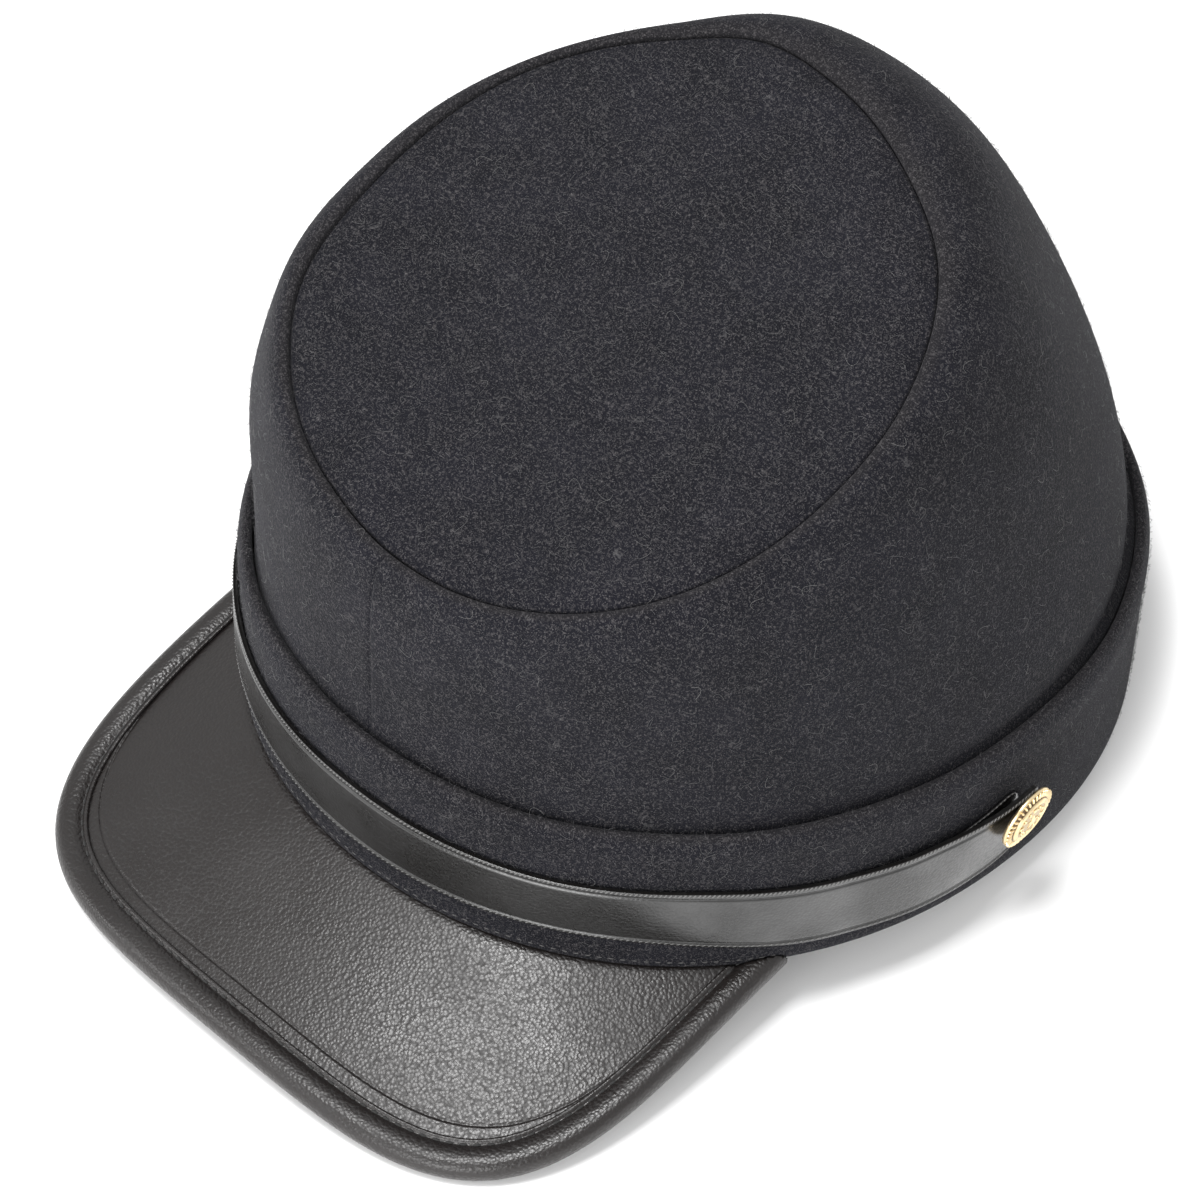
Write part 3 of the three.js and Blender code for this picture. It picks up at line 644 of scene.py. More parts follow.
def grain_group():
    """Pebbled leather-look: rounded cells with creases between, and a broken fine grain."""
    tree, start, end = new_group("ShaderNodeTree", "Leather grain", [
        ("Vector", "Vector", None), ("Scale", "Float", 1100.0), ("Warp", "Float", 0.0004),
    ], [("Height", "Float"), ("Crease", "Float"), ("Patch", "Float")])
    wander = node(tree, "ShaderNodeTexNoise", {"Vector": start["Vector"], "Scale": 700.0, "Detail": 2.0})
    centred = node(tree, "ShaderNodeVectorMath", {0: wander.outputs["Color"], 1: (0.5, 0.5, 0.5)},
                   operation="SUBTRACT")
    shift = node(tree, "ShaderNodeVectorMath", {0: centred.outputs[0], "Scale": start["Warp"]},
                 operation="SCALE")
    warped = node(tree, "ShaderNodeVectorMath", {0: start["Vector"], 1: shift.outputs[0]}, operation="ADD")
    cells = node(tree, "ShaderNodeTexVoronoi", {"Vector": warped.outputs[0], "Scale": start["Scale"]},
                 feature="F1")
    small = noise(tree, start["Vector"], 2600.0, 3.0)
    rounded = maths(tree, "SUBTRACT", 1.0, maths(tree, "POWER", cells.outputs["Distance"], 1.6))
    tree.links.new(maths(tree, "ADD", rounded, maths(tree, "MULTIPLY", small, 0.45)), end["Height"])
    tree.links.new(ramp(tree, cells.outputs["Distance"], 0.35, 0.8), end["Crease"])
    tree.links.new(noise(tree, start["Vector"], 45.0, 4.0), end["Patch"])
    return tree


def new_material(name):
    material = bpy.data.materials.new(name)
    material.use_nodes = True
    tree = material.node_tree
    shader = next(n for n in tree.nodes if n.type == "BSDF_PRINCIPLED")
    place = node(tree, "ShaderNodeTexCoord").outputs["Object"]
    return material, tree, shader, place


def set_shader(tree, shader, values):
    for key, value in values.items():
        if isinstance(value, bpy.types.NodeSocket):
            tree.links.new(value, shader.inputs[key])
        else:
            shader.inputs[key].default_value = value


def bump(tree, height, strength, distance):
    made = node(tree, "ShaderNodeBump", {"Strength": strength, "Distance": distance, "Height": height})
    return made.outputs[0]


def felt_material(flecks):
    material, tree, shader, place = new_material("charcoal felt")
    pattern = placed_group(tree, flecks, place)
    blotch = ramp(tree, pattern.outputs["Blotch"], 0.35, 0.65)
    ground = mixed(tree, blotch, FELT_LOW, FELT_HIGH)
    wear = maths(tree, "MULTIPLY", marked(tree, "edge"), 0.5)
    lighter_edges = mixed(tree, wear, ground, FELT_WORN)
    flecked = mixed(tree, pattern.outputs["Fleck"], lighter_edges, FELT_FLECK)
    faint = maths(tree, "MULTIPLY", pattern.outputs["Fibre"], 0.35)
    fibred = mixed(tree, faint, flecked, FELT_FIBRE)
    set_shader(tree, shader, {
        "Base Color": fibred, "Roughness": 0.95, "Specular IOR Level": 0.2, "Sheen Weight": 0.03,
        "Sheen Roughness": 0.4, "Sheen Tint": (0.9, 0.9, 0.95, 1.0),
        "Normal": bump(tree, pattern.outputs["Height"], 0.6, 0.0005),
    })
    return material


def leather_material(name, grain, scale, base, rough, depth, creases=0.0, coat=0.0):
    """Leather-look in a base colour, duller in the creases of its grain and darkened there by painted
    shade, and lighter where the mesh marks its edges. creases is how strongly fine lines run along the
    piece, and coat how strongly its patchy shine shows."""
    material, tree, shader, place = new_material(name)
    pattern = placed_group(tree, grain, place)
    pattern.inputs["Scale"].default_value = scale
    # The grain's creases darken the base colour: painted shade.
    crease_shade = maths(tree, "MULTIPLY", pattern.outputs["Crease"], 0.6)
    # Edges that the mesh marks are drawn lighter.
    lighter_edges = mixed(tree, marked(tree, "edge"), mixed(tree, crease_shade, base, shaded(base, 0.45)),
                 shaded(base, 2.2))
    height = pattern.outputs["Height"]
    if creases:
        uv = node(tree, "ShaderNodeTexCoord").outputs["UV"]
        drawn = node(tree, "ShaderNodeMapping", {"Vector": uv, "Scale": (30.0, 900.0, 1.0)})
        lines = noise(tree, drawn.outputs[0], 1.0, 4.0, 0.4)
        height = maths(tree, "ADD", height, maths(tree, "MULTIPLY", lines, creases))
    patch = pattern.outputs["Patch"]
    patchy = ramp(tree, patch, 0.3, 0.7, rough - 0.05, rough + 0.08)
    duller = maths(tree, "MULTIPLY", pattern.outputs["Crease"], 0.14)
    shine = ramp(tree, patch, 0.42, 0.6, 0.42 * coat, coat) if coat else 0.0
    set_shader(tree, shader, {
        "Base Color": lighter_edges, "Specular IOR Level": 0.5,
        "Roughness": maths(tree, "ADD", patchy, duller),
        "Normal": bump(tree, height, 0.6, depth), "Coat Weight": shine, "Coat Roughness": 0.2,
    })
    return material


def brass_material():
    """Pale brass, lightly tarnished, and darkened by painted shade where the mesh marks a recess."""
    material, tree, shader, place = new_material("pale brass")
    tarnish = noise(tree, place, 500.0, 4.0)
    tone = mixed(tree, ramp(tree, tarnish, 0.35, 0.7), BRASS_LOW, BRASS_HIGH)
    set_shader(tree, shader, {
        # Recesses marked on the mesh take a dark colour: painted shade.
        "Base Color": mixed(tree, marked(tree, "edge"), tone, BRASS_RECESS_SHADE),
        "Metallic": 1.0, "Roughness": ramp(tree, tarnish, 0.3, 0.7, 0.24, 0.38),
        "Normal": bump(tree, tarnish, 0.12, 0.00005),
    })
    return material


def thread_material(name, tone):
    material, tree, shader, place = new_material(name)
    twist = noise(tree, place, 3000.0, 2.0)
    set_shader(tree, shader, {
        "Base Color": mixed(tree, twist, shaded(tone, 0.6), shaded(tone, 1.3)),
        "Roughness": 0.75, "Sheen Weight": 0.2,
    })
    return material


def fibre_material(name, dark, light):
    material, tree, shader, _ = new_material(name)
    share = maths(tree, "POWER", marked(tree, "shade"), FEW_LIGHT_FIBRES)
    set_shader(tree, shader, {
        "Base Color": mixed(tree, share, dark, light),
        "Roughness": 0.8, "Sheen Weight": 0.2,
    })
    return material


def floor_material():
    material, tree, shader, _ = new_material("pale floor")
    set_shader(tree, shader, {
        "Base Color": (0.9, 0.9, 0.9, 1.0), "Roughness": 0.9, "Specular IOR Level": 0.1})
    return material


flecks = felt_group()
grain = grain_group()
felt = felt_material(flecks)
visor_leather = leather_material(
    "visor leather", grain, 1300.0, VISOR_BASE, rough=0.3, depth=0.00015)
strap_leather = leather_material(
    "strap leather", grain, 1500.0, STRAP_BASE, rough=0.28, depth=0.0001, creases=0.5, coat=1.0)
brass = brass_material()
light_thread = thread_material("light thread", (0.11, 0.108, 0.106))
seam_thread = thread_material("seam thread", (0.045, 0.044, 0.043))
dark_thread = thread_material("dark thread", (0.004, 0.0038, 0.0036))
fuzz = fibre_material("felt fuzz", (0.004, 0.0043, 0.008), (0.064, 0.062, 0.068))
stray = fibre_material("stray fibres", (0.025, 0.025, 0.027), (0.13, 0.128, 0.125))
stitches = stitch_tree()
fibres = fibre_tree()
beads = bead_tree()


# The felt crown

ROUND = np.arange(0.0, 360.0, 1.25)
SEAM_SPREAD = 3.0
WALL_ANGLES = np.unique(np.concatenate([
    ROUND[(ROUND > SEAM_SPREAD) & (ROUND < 360.0 - SEAM_SPREAD)],
    np.mod(np.arange(-SEAM_SPREAD, SEAM_SPREAD + 0.01, 0.15), 360.0).round(3),
]))
SEAM_DEPTH = 0.3

# The disc's sewn margin: its breadth, how deep it dips to the seam and over what width
DISC_MARGIN = 6.0
DISC_DIP = 0.95
DISC_DIP_WIDTH = 2.5
DISC_EDGE_DROP = 0.75
FAR_FROM_RIM = 9.0

# The surface fibres: how many to the square metre, their length in metres, and their thickness and
# bend as shares of the length
WALL_FUZZ = 170000.0
TOP_FUZZ = 600000.0
BAND_FUZZ = 420000.0
FUZZ = {"Length": 0.00125, "Thickness": 0.03, "Middle": (0.35, 0.12, 0.42), "End": (0.8, 0.0, 0.5),
        "Steps": 2}
STRAY_FIBRES = {"Density": 30000.0, "Length": 0.0055, "Thickness": 0.0055, "Middle": (0.25, 0.75, 0.1),
                "End": (0.62, -0.12, 0.04), "Steps": 7}


def arc(steps, from_share=0.0, to_share=1.0):
    return np.linspace(from_share, to_share, steps + 1) * math.pi / 2


def crown_wall():
    """The wall from inside the band over the rim to its allowance. Gives back its outer face."""
    angle = WALL_ANGLES[:, None]
    bend = arc(6)[1:]
    tuck = np.linspace(BAND_HEIGHT - WALL_TUCK, BAND_HEIGHT, 6)[:-1]
    outer = np.linspace(0.0, 1.0, 73)
    inner = np.linspace(0.0, INNER_RIM, 20)[::-1]
    allowance_top = -(DISC_THICKNESS + CLEARANCE)
    allowance_low = allowance_top - ALLOWANCE_THICKNESS
    parts = [
        band_point(angle, tuck[None, :], -(BAND_THICKNESS + CLEARANCE)),
        wall_point(angle, outer[None, :], 0.0, SEAM_DEPTH),
        rim_point(angle, RIM_ROUND * (1 - np.sin(bend)), RIM_ROUND * (np.cos(bend) - 1)),
        rim_point(angle, [[0.0, -ALLOWANCE_WIDTH, -ALLOWANCE_WIDTH, RIM_ROUND]],
                  [[allowance_top, allowance_top, allowance_low, allowance_low]]),
        wall_point(angle, inner[None, :], FELT_THICKNESS),
        band_point(angle, tuck[None, ::-1], -(BAND_THICKNESS + CLEARANCE + FELT_THICKNESS)),
    ]
    edge = np.concatenate([
        np.zeros(len(tuck)), smoothstep(outer, 0.93, 1.0), np.ones(len(bend)), np.zeros(4),
        np.zeros(len(inner) + len(tuck))])
    mesh = body("wall", np.concatenate(parts, axis=1), ring=True, edge=edge)
    shown("crown wall", mesh, felt, "crown_wall")
    return wall_point(angle, np.linspace(0.03, 0.985, 50)[None, :], 0.0, SEAM_DEPTH)


def disc_unevenness(plan):
    x, y = plan[..., 0], plan[..., 1]
    return (0.28 * np.sin(x / 17.0 + 0.6) * np.cos(y / 23.0) + 0.16 * np.sin(x / 9.0 - y / 12.0)
            - 0.5 * np.exp(-(x**2 + (y + 8.0) ** 2) / 2200.0))


def crown_top():
    """The disc, dipping to its seam. Gives back its upper face for the fuzz."""
    angle = ROUND[:, None]
    edge_at = -(CLEARANCE + RIM_ROUND)
    shares = np.linspace(0.0, 1.0, 26)
    outs = np.linspace(-DISC_MARGIN, edge_at, 12)[1:]
    bend = arc(5)[1:]
    inside = rim_plan(ROUND, np.full(len(ROUND), -DISC_MARGIN))[:, None, :] * shares[None, :, None]
    outside = rim_plan(angle, outs[None, :])
    plan = np.concatenate([inside, outside], axis=1)
    near = np.concatenate([np.full(len(shares), FAR_FROM_RIM), -CLEARANCE - outs])
    dip = DISC_DIP * bell(near, 0.0, DISC_DIP_WIDTH) + 0.02
    ease = smoothstep(near, 1.2, 5.0)
    top = disc_point(plan, disc_unevenness(plan) * ease - dip)
    under = rim_point(angle, [[-CLEARANCE, -CLEARANCE - 20.0, -CLEARANCE - 45.0]],
                      [[-DISC_THICKNESS] * 3])
    middle = np.broadcast_to(disc_point(np.zeros(2), -DISC_THICKNESS), (len(ROUND), 1, 3))
    low = RIM_ROUND * (np.cos(bend) - 1)
    parts = [
        top, rim_point(angle, edge_at + RIM_ROUND * np.sin(bend), low - DISC_EDGE_DROP),
        under, middle,
    ]
    mesh = body("disc", np.concatenate(parts, axis=1), ring=True, loop=False)
    shown("crown top", mesh, felt, "crown_top")
    return top[:, :-3]


def band():
    """The doubled band with its soft folded top edge. Gives back its outer face for the fuzz."""
    angle = np.arange(0.0, 360.0, 1.0)[:, None]
    half = BAND_THICKNESS / 2
    heights = np.linspace(BAND_HEM, BAND_HEIGHT - BAND_SHOULDER, 24)
    fold = np.linspace(0.0, math.pi, 19)[1:-1]
    depth = np.where(fold < math.pi / 2, BAND_SHOULDER, half)
    heights_all = np.concatenate([
        [0.0], heights, BAND_HEIGHT - depth * (1 - np.sin(fold)), heights[::-3], [0.0]])
    outs = np.concatenate([
        [-BAND_HEM], np.zeros(len(heights)), half * np.cos(fold) - half,
        np.full(len(heights[::-3]), -BAND_THICKNESS), [BAND_HEM - BAND_THICKNESS]])
    a = np.radians(angle)
    soft = smoothstep(heights_all, 27.0, BAND_HEIGHT)[None, :]
    sway = 0.18 * np.sin(7 * a + 0.5) + 0.14 * np.sin(13 * a + 2.0)
    full = 0.3 * bell(heights_all, BAND_HEIGHT - 5.0, 3.0)[None, :] * (outs > -half)
    lift = 0.2 * np.sin(6 * a + 1.2) * soft
    low = smoothstep(heights_all, 12.0, 0.0)[None, :]
    points = band_point(angle, heights_all[None, :], outs[None, :] + sway * soft + full)
    points[..., 2] += lift - low * edge_drop(angle)
    edge = bell(heights_all, BAND_HEIGHT, 1.1)
    shown("band", body("band", points, ring=True, edge=edge), felt, "band")
    outside = slice(2, 1 + len(heights) + 12)
    return points[:, outside]


def fuzz_on(name, points, density, seed):
    """Short fuzz and sparse long curly fibres on a felt surface."""
    surface = body(f"{name} surface", points, ring=True, loop=False)
    short = grown(surface, fibres, {**FUZZ, "Density": density, "Seed": seed, "Material": fuzz})
    shown(f"{name} fuzz", short, fuzz)
    long = grown(surface, fibres, {**STRAY_FIBRES, "Seed": seed + 5, "Material": stray})
    shown(f"{name} stray fibres", long, stray)


wall_surface = crown_wall()
disc_surface = crown_top()
band_surface = band()
fuzz_on("crown wall", wall_surface, WALL_FUZZ, 21)
fuzz_on("crown top", disc_surface, TOP_FUZZ, 22)
fuzz_on("band", band_surface, BAND_FUZZ, 23)


# The visor

visor_root = band_point(VISOR_ROOT_ANGLE, 0.0)
visor_length = HEAD_HALF_LENGTH + VISOR_REACH + visor_root[1]


def visor_edge(u):
    turn = np.pi / 2 * (1 - u)
    x = visor_root[0] * signed_power(np.cos(turn), 2 / VISOR_CORNER_POWER)
    bow = 1 - VISOR_FRONT_BOW * (x / visor_root[0]) ** 2
    out = visor_length * bow * np.abs(np.sin(turn)) ** (2 / VISOR_CORNER_POWER)
    return np.stack([x, visor_root[1] - out], axis=-1)


OUTLINE = visor_edge(np.linspace(-1.0, 1.0, 801))
OUTLINE_RUN = np.concatenate([[0.0], np.cumsum(np.linalg.norm(np.diff(OUTLINE, axis=0), axis=1))])


def outline_at(share):
    want = np.asarray(share) * OUTLINE_RUN[-1]
    plan = np.stack([np.interp(want, OUTLINE_RUN, OUTLINE[:, k]) for k in (0, 1)], axis=-1)
    index = np.clip(np.searchsorted(OUTLINE_RUN, want), 1, len(OUTLINE) - 1)
    return plan, unit(OUTLINE[index] - OUTLINE[index - 1])


def visor_height(plan):
    """The visor's top face at a point in plan, falling away from the band's lower edge."""
    x, y = plan[..., 0], plan[..., 1]
    reach = (np.abs(x / HEAD_HALF_WIDTH) ** HEAD_SQUARENESS
             + np.abs(y / HEAD_HALF_LENGTH) ** HEAD_SQUARENESS) ** (1 / HEAD_SQUARENESS)
    foot_x, foot_y = x / reach, y / reach
    angle = np.degrees(np.arctan2(foot_x / HEAD_HALF_WIDTH, -foot_y / HEAD_HALF_LENGTH))
    radial = np.maximum(0.0, np.hypot(x - foot_x, y - foot_y) * np.sign(reach - 1))
    forward = np.maximum(0.0, foot_y - y)
    fall = VISOR_RADIAL_SHARE * radial + (1 - VISOR_RADIAL_SHARE) * forward
    return -edge_drop(angle) - CLEARANCE - math.tan(VISOR_SLOPE) * fall


def visor_surface(plan):
    step = 0.5
    side, ahead = np.array([step, 0.0]), np.array([0.0, step])
    slope_x = (visor_height(plan + side) - visor_height(plan - side)) / (2 * step)
    slope_y = (visor_height(plan + ahead) - visor_height(plan - ahead)) / (2 * step)
    point = np.concatenate([plan, visor_height(plan)[..., None]], axis=-1)
    return point, unit(np.stack([-slope_x, -slope_y, np.ones_like(slope_x)], axis=-1))


def edge_frame(share):
    """Where the visor's edge runs: on its middle surface, with directions inwards and upwards."""
    plan, along = outline_at(share)
    point, normal = visor_surface(plan)
    flat = np.stack([-along[..., 1], along[..., 0], np.zeros(len(along))], axis=-1)
    inward = unit(flat - normal * np.sum(flat * normal, axis=-1, keepdims=True))
    return point - normal * VISOR_THICKNESS / 2, inward, normal


def visor():
    """The visor from inside its binding to the band, and its sewing flange up behind the band."""
    share = np.linspace(VISOR_CORNER_CUT, 1 - VISOR_CORNER_CUT, 241)
    angle = (2 * share - 1) * VISOR_ROOT_ANGLE
    middle, inward, normal = edge_frame(share)
    start = middle + inward * (BINDING_WALL + CLEARANCE) + normal * VISOR_THICKNESS / 2
    root = band_point(angle, 0.0)
    length = np.linalg.norm(root[:, :2] - start[:, :2], axis=1)[:, None]
    near = np.concatenate([np.linspace(0.0, 6.0, 7), np.linspace(6.3, INNER_LINE + 2.5, 20)])
    far = np.linspace(0.0, 1.0, 27)[None, 1:]
    run = near[None, :] * np.minimum(1.0, 0.7 * length / near[-1])
    run = np.concatenate([run, run[:, -1:] + (length - run[:, -1:]) * far], axis=1)
    k = (run / length)[..., None]
    plan = start[:, None, :2] * (1 - k) + root[:, None, :2] * k
    top, _ = visor_surface(plan)
    sway = 0.25 * np.sin(plan[..., 0] / 19.0 + 0.4) * np.sin(plan[..., 1] / 13.0)
    line = 0.28 * smoothstep(run, INNER_LINE + 0.9, INNER_LINE) - 0.22 * bell(run, INNER_LINE + 0.5, 0.3)
    top[..., 2] += sway * np.sin(np.pi * k[..., 0]) ** 0.5 + line * smoothstep(length, 12.0, 20.0)
    under = top - np.array([0.0, 0.0, VISOR_THICKNESS])
    under[:, 0] = top[:, 0] - normal * normal[:, 2:] * VISOR_THICKNESS
    behind = BAND_THICKNESS + CLEARANCE
    drop = edge_drop(angle) + CLEARANCE
    flange = []
    far_side = behind + VISOR_THICKNESS
    for out, height in ((behind, 0.0), (behind, VISOR_FLANGE), (far_side, VISOR_FLANGE),
                        (far_side, -VISOR_THICKNESS)):
        point = band_point(angle, 0.0, -out)
        point[:, 2] = height - drop
        flange.append(point[:, None])
    rows = np.concatenate([top, *flange, under[:, ::-1]], axis=1)
    shown("visor", body("visor", rows), visor_leather, "visor")


def binding():
    """The padded roll round the visor's edge, cut off where it meets the band."""
    upper = np.array(BINDING_PROFILE)
    lower = upper[::-1] * np.array([1.0, -1.0])
    section = np.concatenate([upper, lower])
    middle, inward, normal = edge_frame(np.linspace(0.0, 1.0, 401))
    rows = (middle[:, None] + inward[:, None] * section[None, :, :1]
            + normal[:, None] * section[None, :, 1:])
    # The binding's tip is drawn a little lighter.
    edge = 0.25 * bell(section[:, 0], 0.0, 1.2)
    roll = in_scene("roll", body("roll", rows, edge=edge))
    turn = np.arange(0.0, 360.0, 1.0)
    levels = []
    for height in (-BAND_HEIGHT, BAND_HEIGHT):
        level = band_point(turn, 0.0, CLEARANCE)
        level[:, 2] = height
        levels.append(level)
    column = in_scene("column", body("column", np.stack(levels)))
    cut = roll.modifiers.new("cut", "BOOLEAN")
    cut.object = column
    cut.operation = "DIFFERENCE"
    cut.solver = "EXACT"
    graph = bpy.context.evaluated_depsgraph_get()
    mesh = bpy.data.meshes.new_from_object(roll.evaluated_get(graph), depsgraph=graph)
    bpy.data.objects.remove(roll)
    bpy.data.objects.remove(column)
    mesh.shade_smooth()
    shown("visor binding", mesh, visor_leather, "visor_binding")


def visor_stitches():
    """The thread in the binding's groove, and the hem stitches of the band over the visor."""
    middle, inward, normal = edge_frame(np.linspace(0.012, 0.988, 500))
    points = middle + inward * BINDING_GROOVE + normal * GROOVE_UP
    sewn("binding stitches", points, normal, dark_thread, {
        "Spacing": 0.0028, "Size": (0.0017, 0.0006, 0.0005), "Seed": 31})
    angle = np.linspace(-56.0, 56.0, 300)
    points = band_point(angle, 1.7 - 0.9 * edge_drop(angle), 0.05)
    sewn("visor seam stitches", points, band_outward(angle, 2.0), seam_thread, {
        "Spacing": 0.0024, "Size": (0.0012, 0.00035, 0.0003), "Seed": 32})


visor()
binding()
visor_stitches()


# The chin strap, its folded-back ends and the buttons

DEGREES_PER_MM = 180 / (math.pi * HEAD_HALF_WIDTH)
TAIL_TO = BUTTON_ANGLE + TAIL_PAST * DEGREES_PER_MM
TAIL_FROM = TAIL_TO - TAIL_LENGTH * DEGREES_PER_MM

# The strap's face: pressed lines by its lower and upper edges, and a soft swell between them
LOWER_LINE = 1.25
UPPER_LINE = 1.7
LINE_WIDTH = 0.26
LINE_DEPTH = 0.42
STRAP_SWELL = 0.16


def strap_low(angle):
    return around(STRAP_LINE, 1, np.abs(angle)) * BAND_HEIGHT


def strap_breadth(angle):
    return around(STRAP_LINE, 2, np.abs(angle)) * STRAP_WIDTH


def strap_lift(angle, height):
    """How far the strap's back stands off the band, where it passes over its folded end."""
    share = (height - strap_low(angle)) / strap_breadth(angle)
    over = smoothstep(np.abs(angle), TAIL_FROM - LIFT_RUN * DEGREES_PER_MM, TAIL_FROM)
    end = smoothstep(np.abs(angle), TAIL_FROM, TAIL_TO)
    return CLEARANCE + over * (TAIL_THICKNESS + CLEARANCE) + end * STRAP_TOP_LIFT * share


def strap_point(angle, height, depth):
    return band_point(angle, height, strap_lift(angle, height) + depth)


def chin_strap():
    """The strap from button to button, with rounded edges and a row of stitches along each."""
    reach = BUTTON_ANGLE + STRAP_END * DEGREES_PER_MM
    angle = np.linspace(-reach, reach, 421)[:, None]
    low, breadth = strap_low(angle), strap_breadth(angle)
    bend = arc(4)
    across = np.linspace(0.0, 1.0, 61)
    inner = STRAP_EDGE / STRAP_WIDTH
    face_at = inner + across * (1 - 2 * inner)
    from_low, from_top = face_at * STRAP_WIDTH, (1 - face_at) * STRAP_WIDTH
    lines = bell(from_low, LOWER_LINE, LINE_WIDTH) + bell(from_top, UPPER_LINE, LINE_WIDTH)
    margin = LINE_DEPTH * lines
    swell = STRAP_SWELL * np.sin(np.pi * face_at) ** 0.6
    face = STRAP_THICKNESS - margin - 0.1 + swell
    rounded = bend[:-1]
    shares = np.concatenate([
        inner * (1 - np.sin(rounded)), face_at, 1 - inner * (1 - np.sin(rounded[::-1]))])
    corner = STRAP_THICKNESS - STRAP_EDGE * np.cos(rounded)
    depths = np.concatenate([corner, face, corner[::-1]])
    outer = strap_point(angle, low + shares[None, :] * breadth, depths[None, :])
    back_shares = np.array([1.0, 1 - inner, 0.5, inner, 0.0])
    back_depths = np.array([STRAP_EDGE, 0.0, 0.0, 0.0, STRAP_EDGE])
    back = strap_point(angle, low + back_shares[None, :] * breadth, back_depths[None, :])
    # The strap is drawn lighter along its corners and its lower edge.
    edge = np.concatenate([
        np.full(len(corner), 0.8), 0.8 * bell(from_low, 0.0, 0.5), np.full(len(corner), 0.5),
        np.zeros(len(back_shares))])
    mesh = body("strap", np.concatenate([outer, back], axis=1), edge=edge)
    shown("chin strap", mesh, strap_leather, "chin_strap")
    along = np.linspace(-reach + 0.4, reach - 0.4, 600)
    for name, share, values in (
            ("strap edge stitches", 1 - inner * 0.9, {
                "Spacing": 0.00098, "Size": (0.001, 0.00032, 0.00034), "Slant": 0.8, "Seed": 41}),
            ("strap lower stitches", inner * 1.6, {
                "Spacing": 0.0013, "Size": (0.0009, 0.00022, 0.0002), "Slant": 0.5, "Seed": 42})):
        height = strap_low(along) + share * strap_breadth(along)
        points = strap_point(along, height, STRAP_THICKNESS - 0.03)
        outward = unit(strap_point(along, height, 2.0) - strap_point(along, height, 0.0))
        sewn(name, points, outward, light_thread, values)


def strap_tail(name, side):
    """The folded-back end of the strap behind it, rounded at the button."""
    angle = np.linspace(TAIL_FROM, TAIL_TO, 61)
    from_end = (TAIL_TO - angle) / DEGREES_PER_MM
    bend = np.maximum(0.0, 1 - from_end / TAIL_ROUND)
    rounding = TAIL_ROUND * (1 - np.sqrt(1 - bend * bend))
    top = strap_low(angle) + strap_breadth(angle) - TAIL_DROP - TAIL_SLOPE * from_end
    low, high = top - TAIL_WIDTH, top - rounding
    section = [(low, 0.0), (low, 1.0), (high - 0.2, 1.0), (high - 0.05, 0.9), (high, 0.65), (high, 0.35),
               (high - 0.05, 0.1), (high - 0.2, 0.0)]
    rows = [band_point(side * angle, height, CLEARANCE + TAIL_THICKNESS * depth)
            for height, depth in section]
    mesh = body(f"strap tail {name}", np.stack(rows, axis=1))
    shown(f"strap tail {name}", mesh, strap_leather, f"strap_tail_{name}")
    run = angle[(from_end > 1.2) & (from_end < 15.0)]
    height = np.interp(run, angle, high) - 0.05
    points = band_point(side * run, height, CLEARANCE + 0.85 * TAIL_THICKNESS)
    corner = unit(band_outward(side * run, height) + np.array([0.0, 0.0, 1.0]))
    sewn(f"strap tail {name} stitches", points, corner, light_thread, {
        "Spacing": 0.0012, "Size": (0.0007, 0.00032, 0.00028), "Seed": 43})


def star(points, outer, inner, height, rise):
    """A raised star about Z with a ridge along each arm."""
    turn = np.arange(2 * points) * math.pi / points + math.pi / 2
    reach = np.where(np.arange(2 * points) % 2 == 0, outer, inner)
    ring = [(r * math.cos(t), r * math.sin(t), height) for r, t in zip(reach, turn)]
    low = [(x, y, z - 0.4) for x, y, z in ring]
    vertices = [*ring, *low, (0.0, 0.0, height + rise), (0.0, 0.0, height - 0.4)]
    count = 2 * points
    faces = []
    for k in range(count):
        following = (k + 1) % count
        faces.append((k, following, 2 * count))
        faces.append((k, count + k, count + following, following))
        faces.append((count + k, 2 * count + 1, count + following))
    return vertices, faces


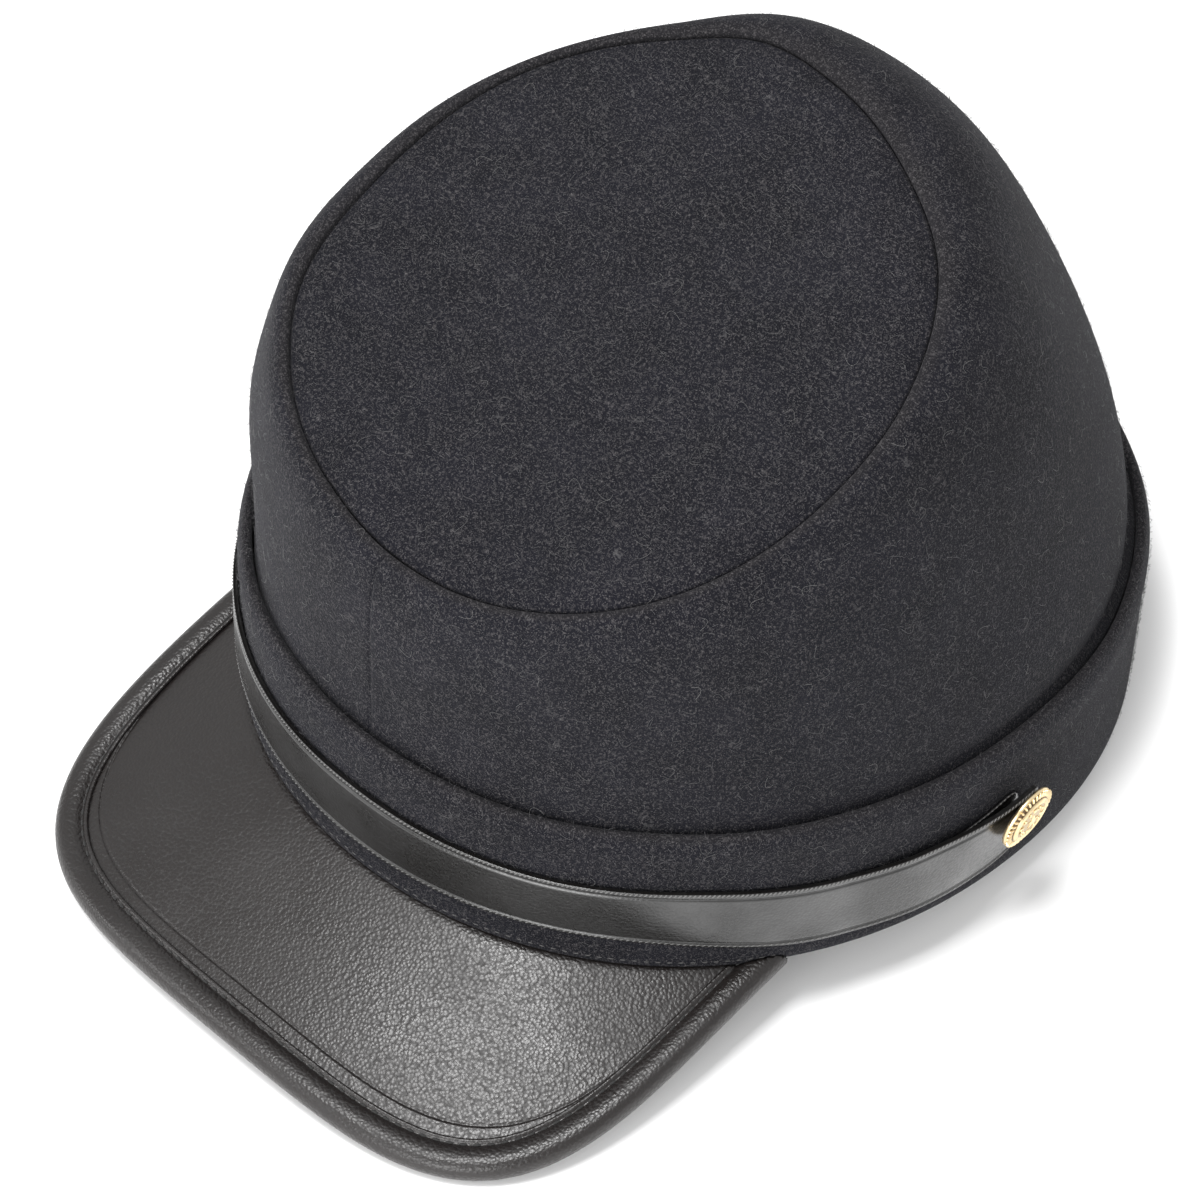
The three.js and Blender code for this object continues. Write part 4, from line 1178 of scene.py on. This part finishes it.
def button(name, side):
    """A domed brass button on its shank, with a fluted border, a double ring, a wreath and a star."""
    profile = np.array(BUTTON_PROFILE)
    height = strap_low(BUTTON_ANGLE) + strap_breadth(BUTTON_ANGLE) / 2 + BUTTON_RISE
    strap_face = strap_lift(BUTTON_ANGLE, height) + STRAP_THICKNESS
    shank_end = CLEARANCE + SHANK_RADIUS * math.sin(BUTTON_TURN)
    back = CLEARANCE + STRAP_END * math.sin(BUTTON_TURN) + shank_end
    shank = np.array([(0.0, shank_end), (SHANK_RADIUS, shank_end), (SHANK_RADIUS, back)])
    section = np.concatenate([shank, profile + np.array([0.0, back])])
    turn = np.linspace(0.0, 2 * math.pi, 97)[:-1]
    work = bmesh.new()
    rows = [[work.verts.new((r * math.cos(t), r * math.sin(t), h)) for r, h in section] for t in turn]
    for k, row in enumerate(rows):
        following = rows[(k + 1) % len(rows)]
        for j in range(len(section) - 1):
            work.faces.new((row[j], following[j], following[j + 1], row[j + 1]))
    bmesh.ops.remove_doubles(work, verts=work.verts, dist=1e-5)
    # The ground between the flutes takes full painted shade, and the ground under the wreath and star part
    # of it.
    shade = work.verts.layers.float.new("edge")
    for vertex in work.verts:
        out = math.hypot(vertex.co.x, vertex.co.y)
        if FLUTES_FROM < out < FLUTES_TO and vertex.co.z > back + 1.0:
            vertex[shade] = 1.0
        elif out < WREATH_REACH:
            vertex[shade] = 0.45
    vertices, faces = star(5, 1.85, 0.8, back + 2.44, 0.34)
    made = [work.verts.new(v) for v in vertices]
    for face in faces:
        work.faces.new([made[k] for k in face])
    empty = bpy.data.meshes.new("nothing")
    for values in (
            {"Count": 36, "Radius": 6.5, "Height": back + 1.36, "Size": (1.95, 0.66, 0.9)},
            {"Count": 12, "Radius": 3.35, "Height": back + 2.2, "Size": (1.35, 0.5, 0.5), "Turn": 0.7},
            {"Count": 12, "Radius": 3.35, "Height": back + 2.2, "Size": (1.35, 0.5, 0.5), "Turn": -0.7}):
        work.from_mesh(grown(empty, beads, {**values, "Material": brass}))
    bmesh.ops.recalc_face_normals(work, faces=work.faces)
    mesh = bpy.data.meshes.new(f"button {name}")
    work.to_mesh(mesh)
    work.free()
    seat = band_point(side * BUTTON_ANGLE, height, strap_face)
    outward = band_point(side * BUTTON_ANGLE, height, strap_face + 1.0) - seat
    facing = math.atan2(outward[1], outward[0]) + side * BUTTON_TURN
    axis = turned(np.array([math.cos(facing) * math.cos(BUTTON_DROOP),
                            math.sin(facing) * math.cos(BUTTON_DROOP), -math.sin(BUTTON_DROOP)]))
    upright = turned(np.array([0.0, 0.0, 1.0]))
    up = unit(upright - axis * np.dot(upright, axis))
    across = np.cross(up, axis)
    mesh.transform(oriented(across, up, axis, placed(seat), MM_PER_METRE))
    mesh.shade_smooth()
    mesh.set_sharp_from_angle(angle=math.radians(40.0))
    shown(f"button {name}", mesh, brass, f"button_{name}")


chin_strap()
for label, hand in (("left", 1.0), ("right", -1.0)):
    strap_tail(label, hand)
    button(label, hand)


# The floor, the lights and the camera: metres and watts

FLOOR_RADIUS = 4.0
ROOM_LIGHT = 0.85
LAMP_AIM = (0.0, 0.0, 0.05)
SOFTBOXES = [
    ("overhead softbox", (-0.03, -0.36, 1.5), (0.42, 0.42), 19.5),
    ("front left softbox", (-0.9, -1.2, 0.75), (0.9, 0.7), 9.0),
    ("low front softbox", (0.52, -1.3, 0.42), (0.9, 0.75), 15.0),
]


def pale_floor():
    work = bmesh.new()
    bmesh.ops.create_circle(work, cap_ends=True, segments=96, radius=FLOOR_RADIUS)
    mesh = bpy.data.meshes.new("floor")
    work.to_mesh(mesh)
    work.free()
    mesh.materials.append(floor_material())
    floor = in_scene("floor", mesh)


def softbox(name, place, size, watts):
    """A soft rectangular lamp that faces the middle of the cap."""
    data = bpy.data.lights.new(name, "AREA")
    data.shape = "RECTANGLE"
    data.size, data.size_y = size
    data.energy = watts
    lamp = in_scene(name, data)
    lamp.location = place
    lamp.rotation_euler = (Vector(LAMP_AIM) - Vector(place)).to_track_quat("-Z", "Y").to_euler()


def studio():
    """White surroundings and the three softboxes."""
    world = bpy.context.scene.world or bpy.data.worlds.new("studio")
    bpy.context.scene.world = world
    world.use_nodes = True
    ground = next(n for n in world.node_tree.nodes if n.type == "BACKGROUND")
    ground.inputs["Color"].default_value = (1.0, 1.0, 1.0, 1.0)
    ground.inputs["Strength"].default_value = ROOM_LIGHT
    for lamp in SOFTBOXES:
        softbox(*lamp)


def photo_camera():
    """The photograph's camera, aimed at the middle of the frame so that it needs no lens shift."""
    azimuth, elevation, roll = (math.radians(v) for v in (CAMERA_AZIMUTH, CAMERA_ELEVATION, CAMERA_ROLL))
    back = np.array([math.sin(azimuth) * math.cos(elevation), -math.cos(azimuth) * math.cos(elevation),
                     math.sin(elevation)])
    level = np.array([math.cos(azimuth), math.sin(azimuth), 0.0])
    climb = np.cross(back, level)
    right = math.cos(roll) * level + math.sin(roll) * climb
    up = math.cos(roll) * climb - math.sin(roll) * level
    place = placed(back * CAMERA_DISTANCE)
    aside = (PHOTO_SIDE / 2 - CAMERA_CENTRE[0]) / CAMERA_FOCUS
    down = (PHOTO_SIDE / 2 - CAMERA_CENTRE[1]) / CAMERA_FOCUS
    back = unit(back - right * aside + up * down)
    right = unit(right - back * np.dot(right, back))
    up = np.cross(back, right)
    right, up, back = turned(np.stack([right, up, back]))
    data = bpy.data.cameras.new("photo camera")
    data.sensor_width = SENSOR
    data.lens = CAMERA_FOCUS / PHOTO_SIDE * SENSOR
    data.clip_start = 0.05
    camera = in_scene("photo camera", data)
    camera.matrix_world = oriented(right, up, back, place)
    bpy.context.scene.camera = camera


pale_floor()
studio()
photo_camera()
bpy.context.scene.view_settings.view_transform = "Standard"
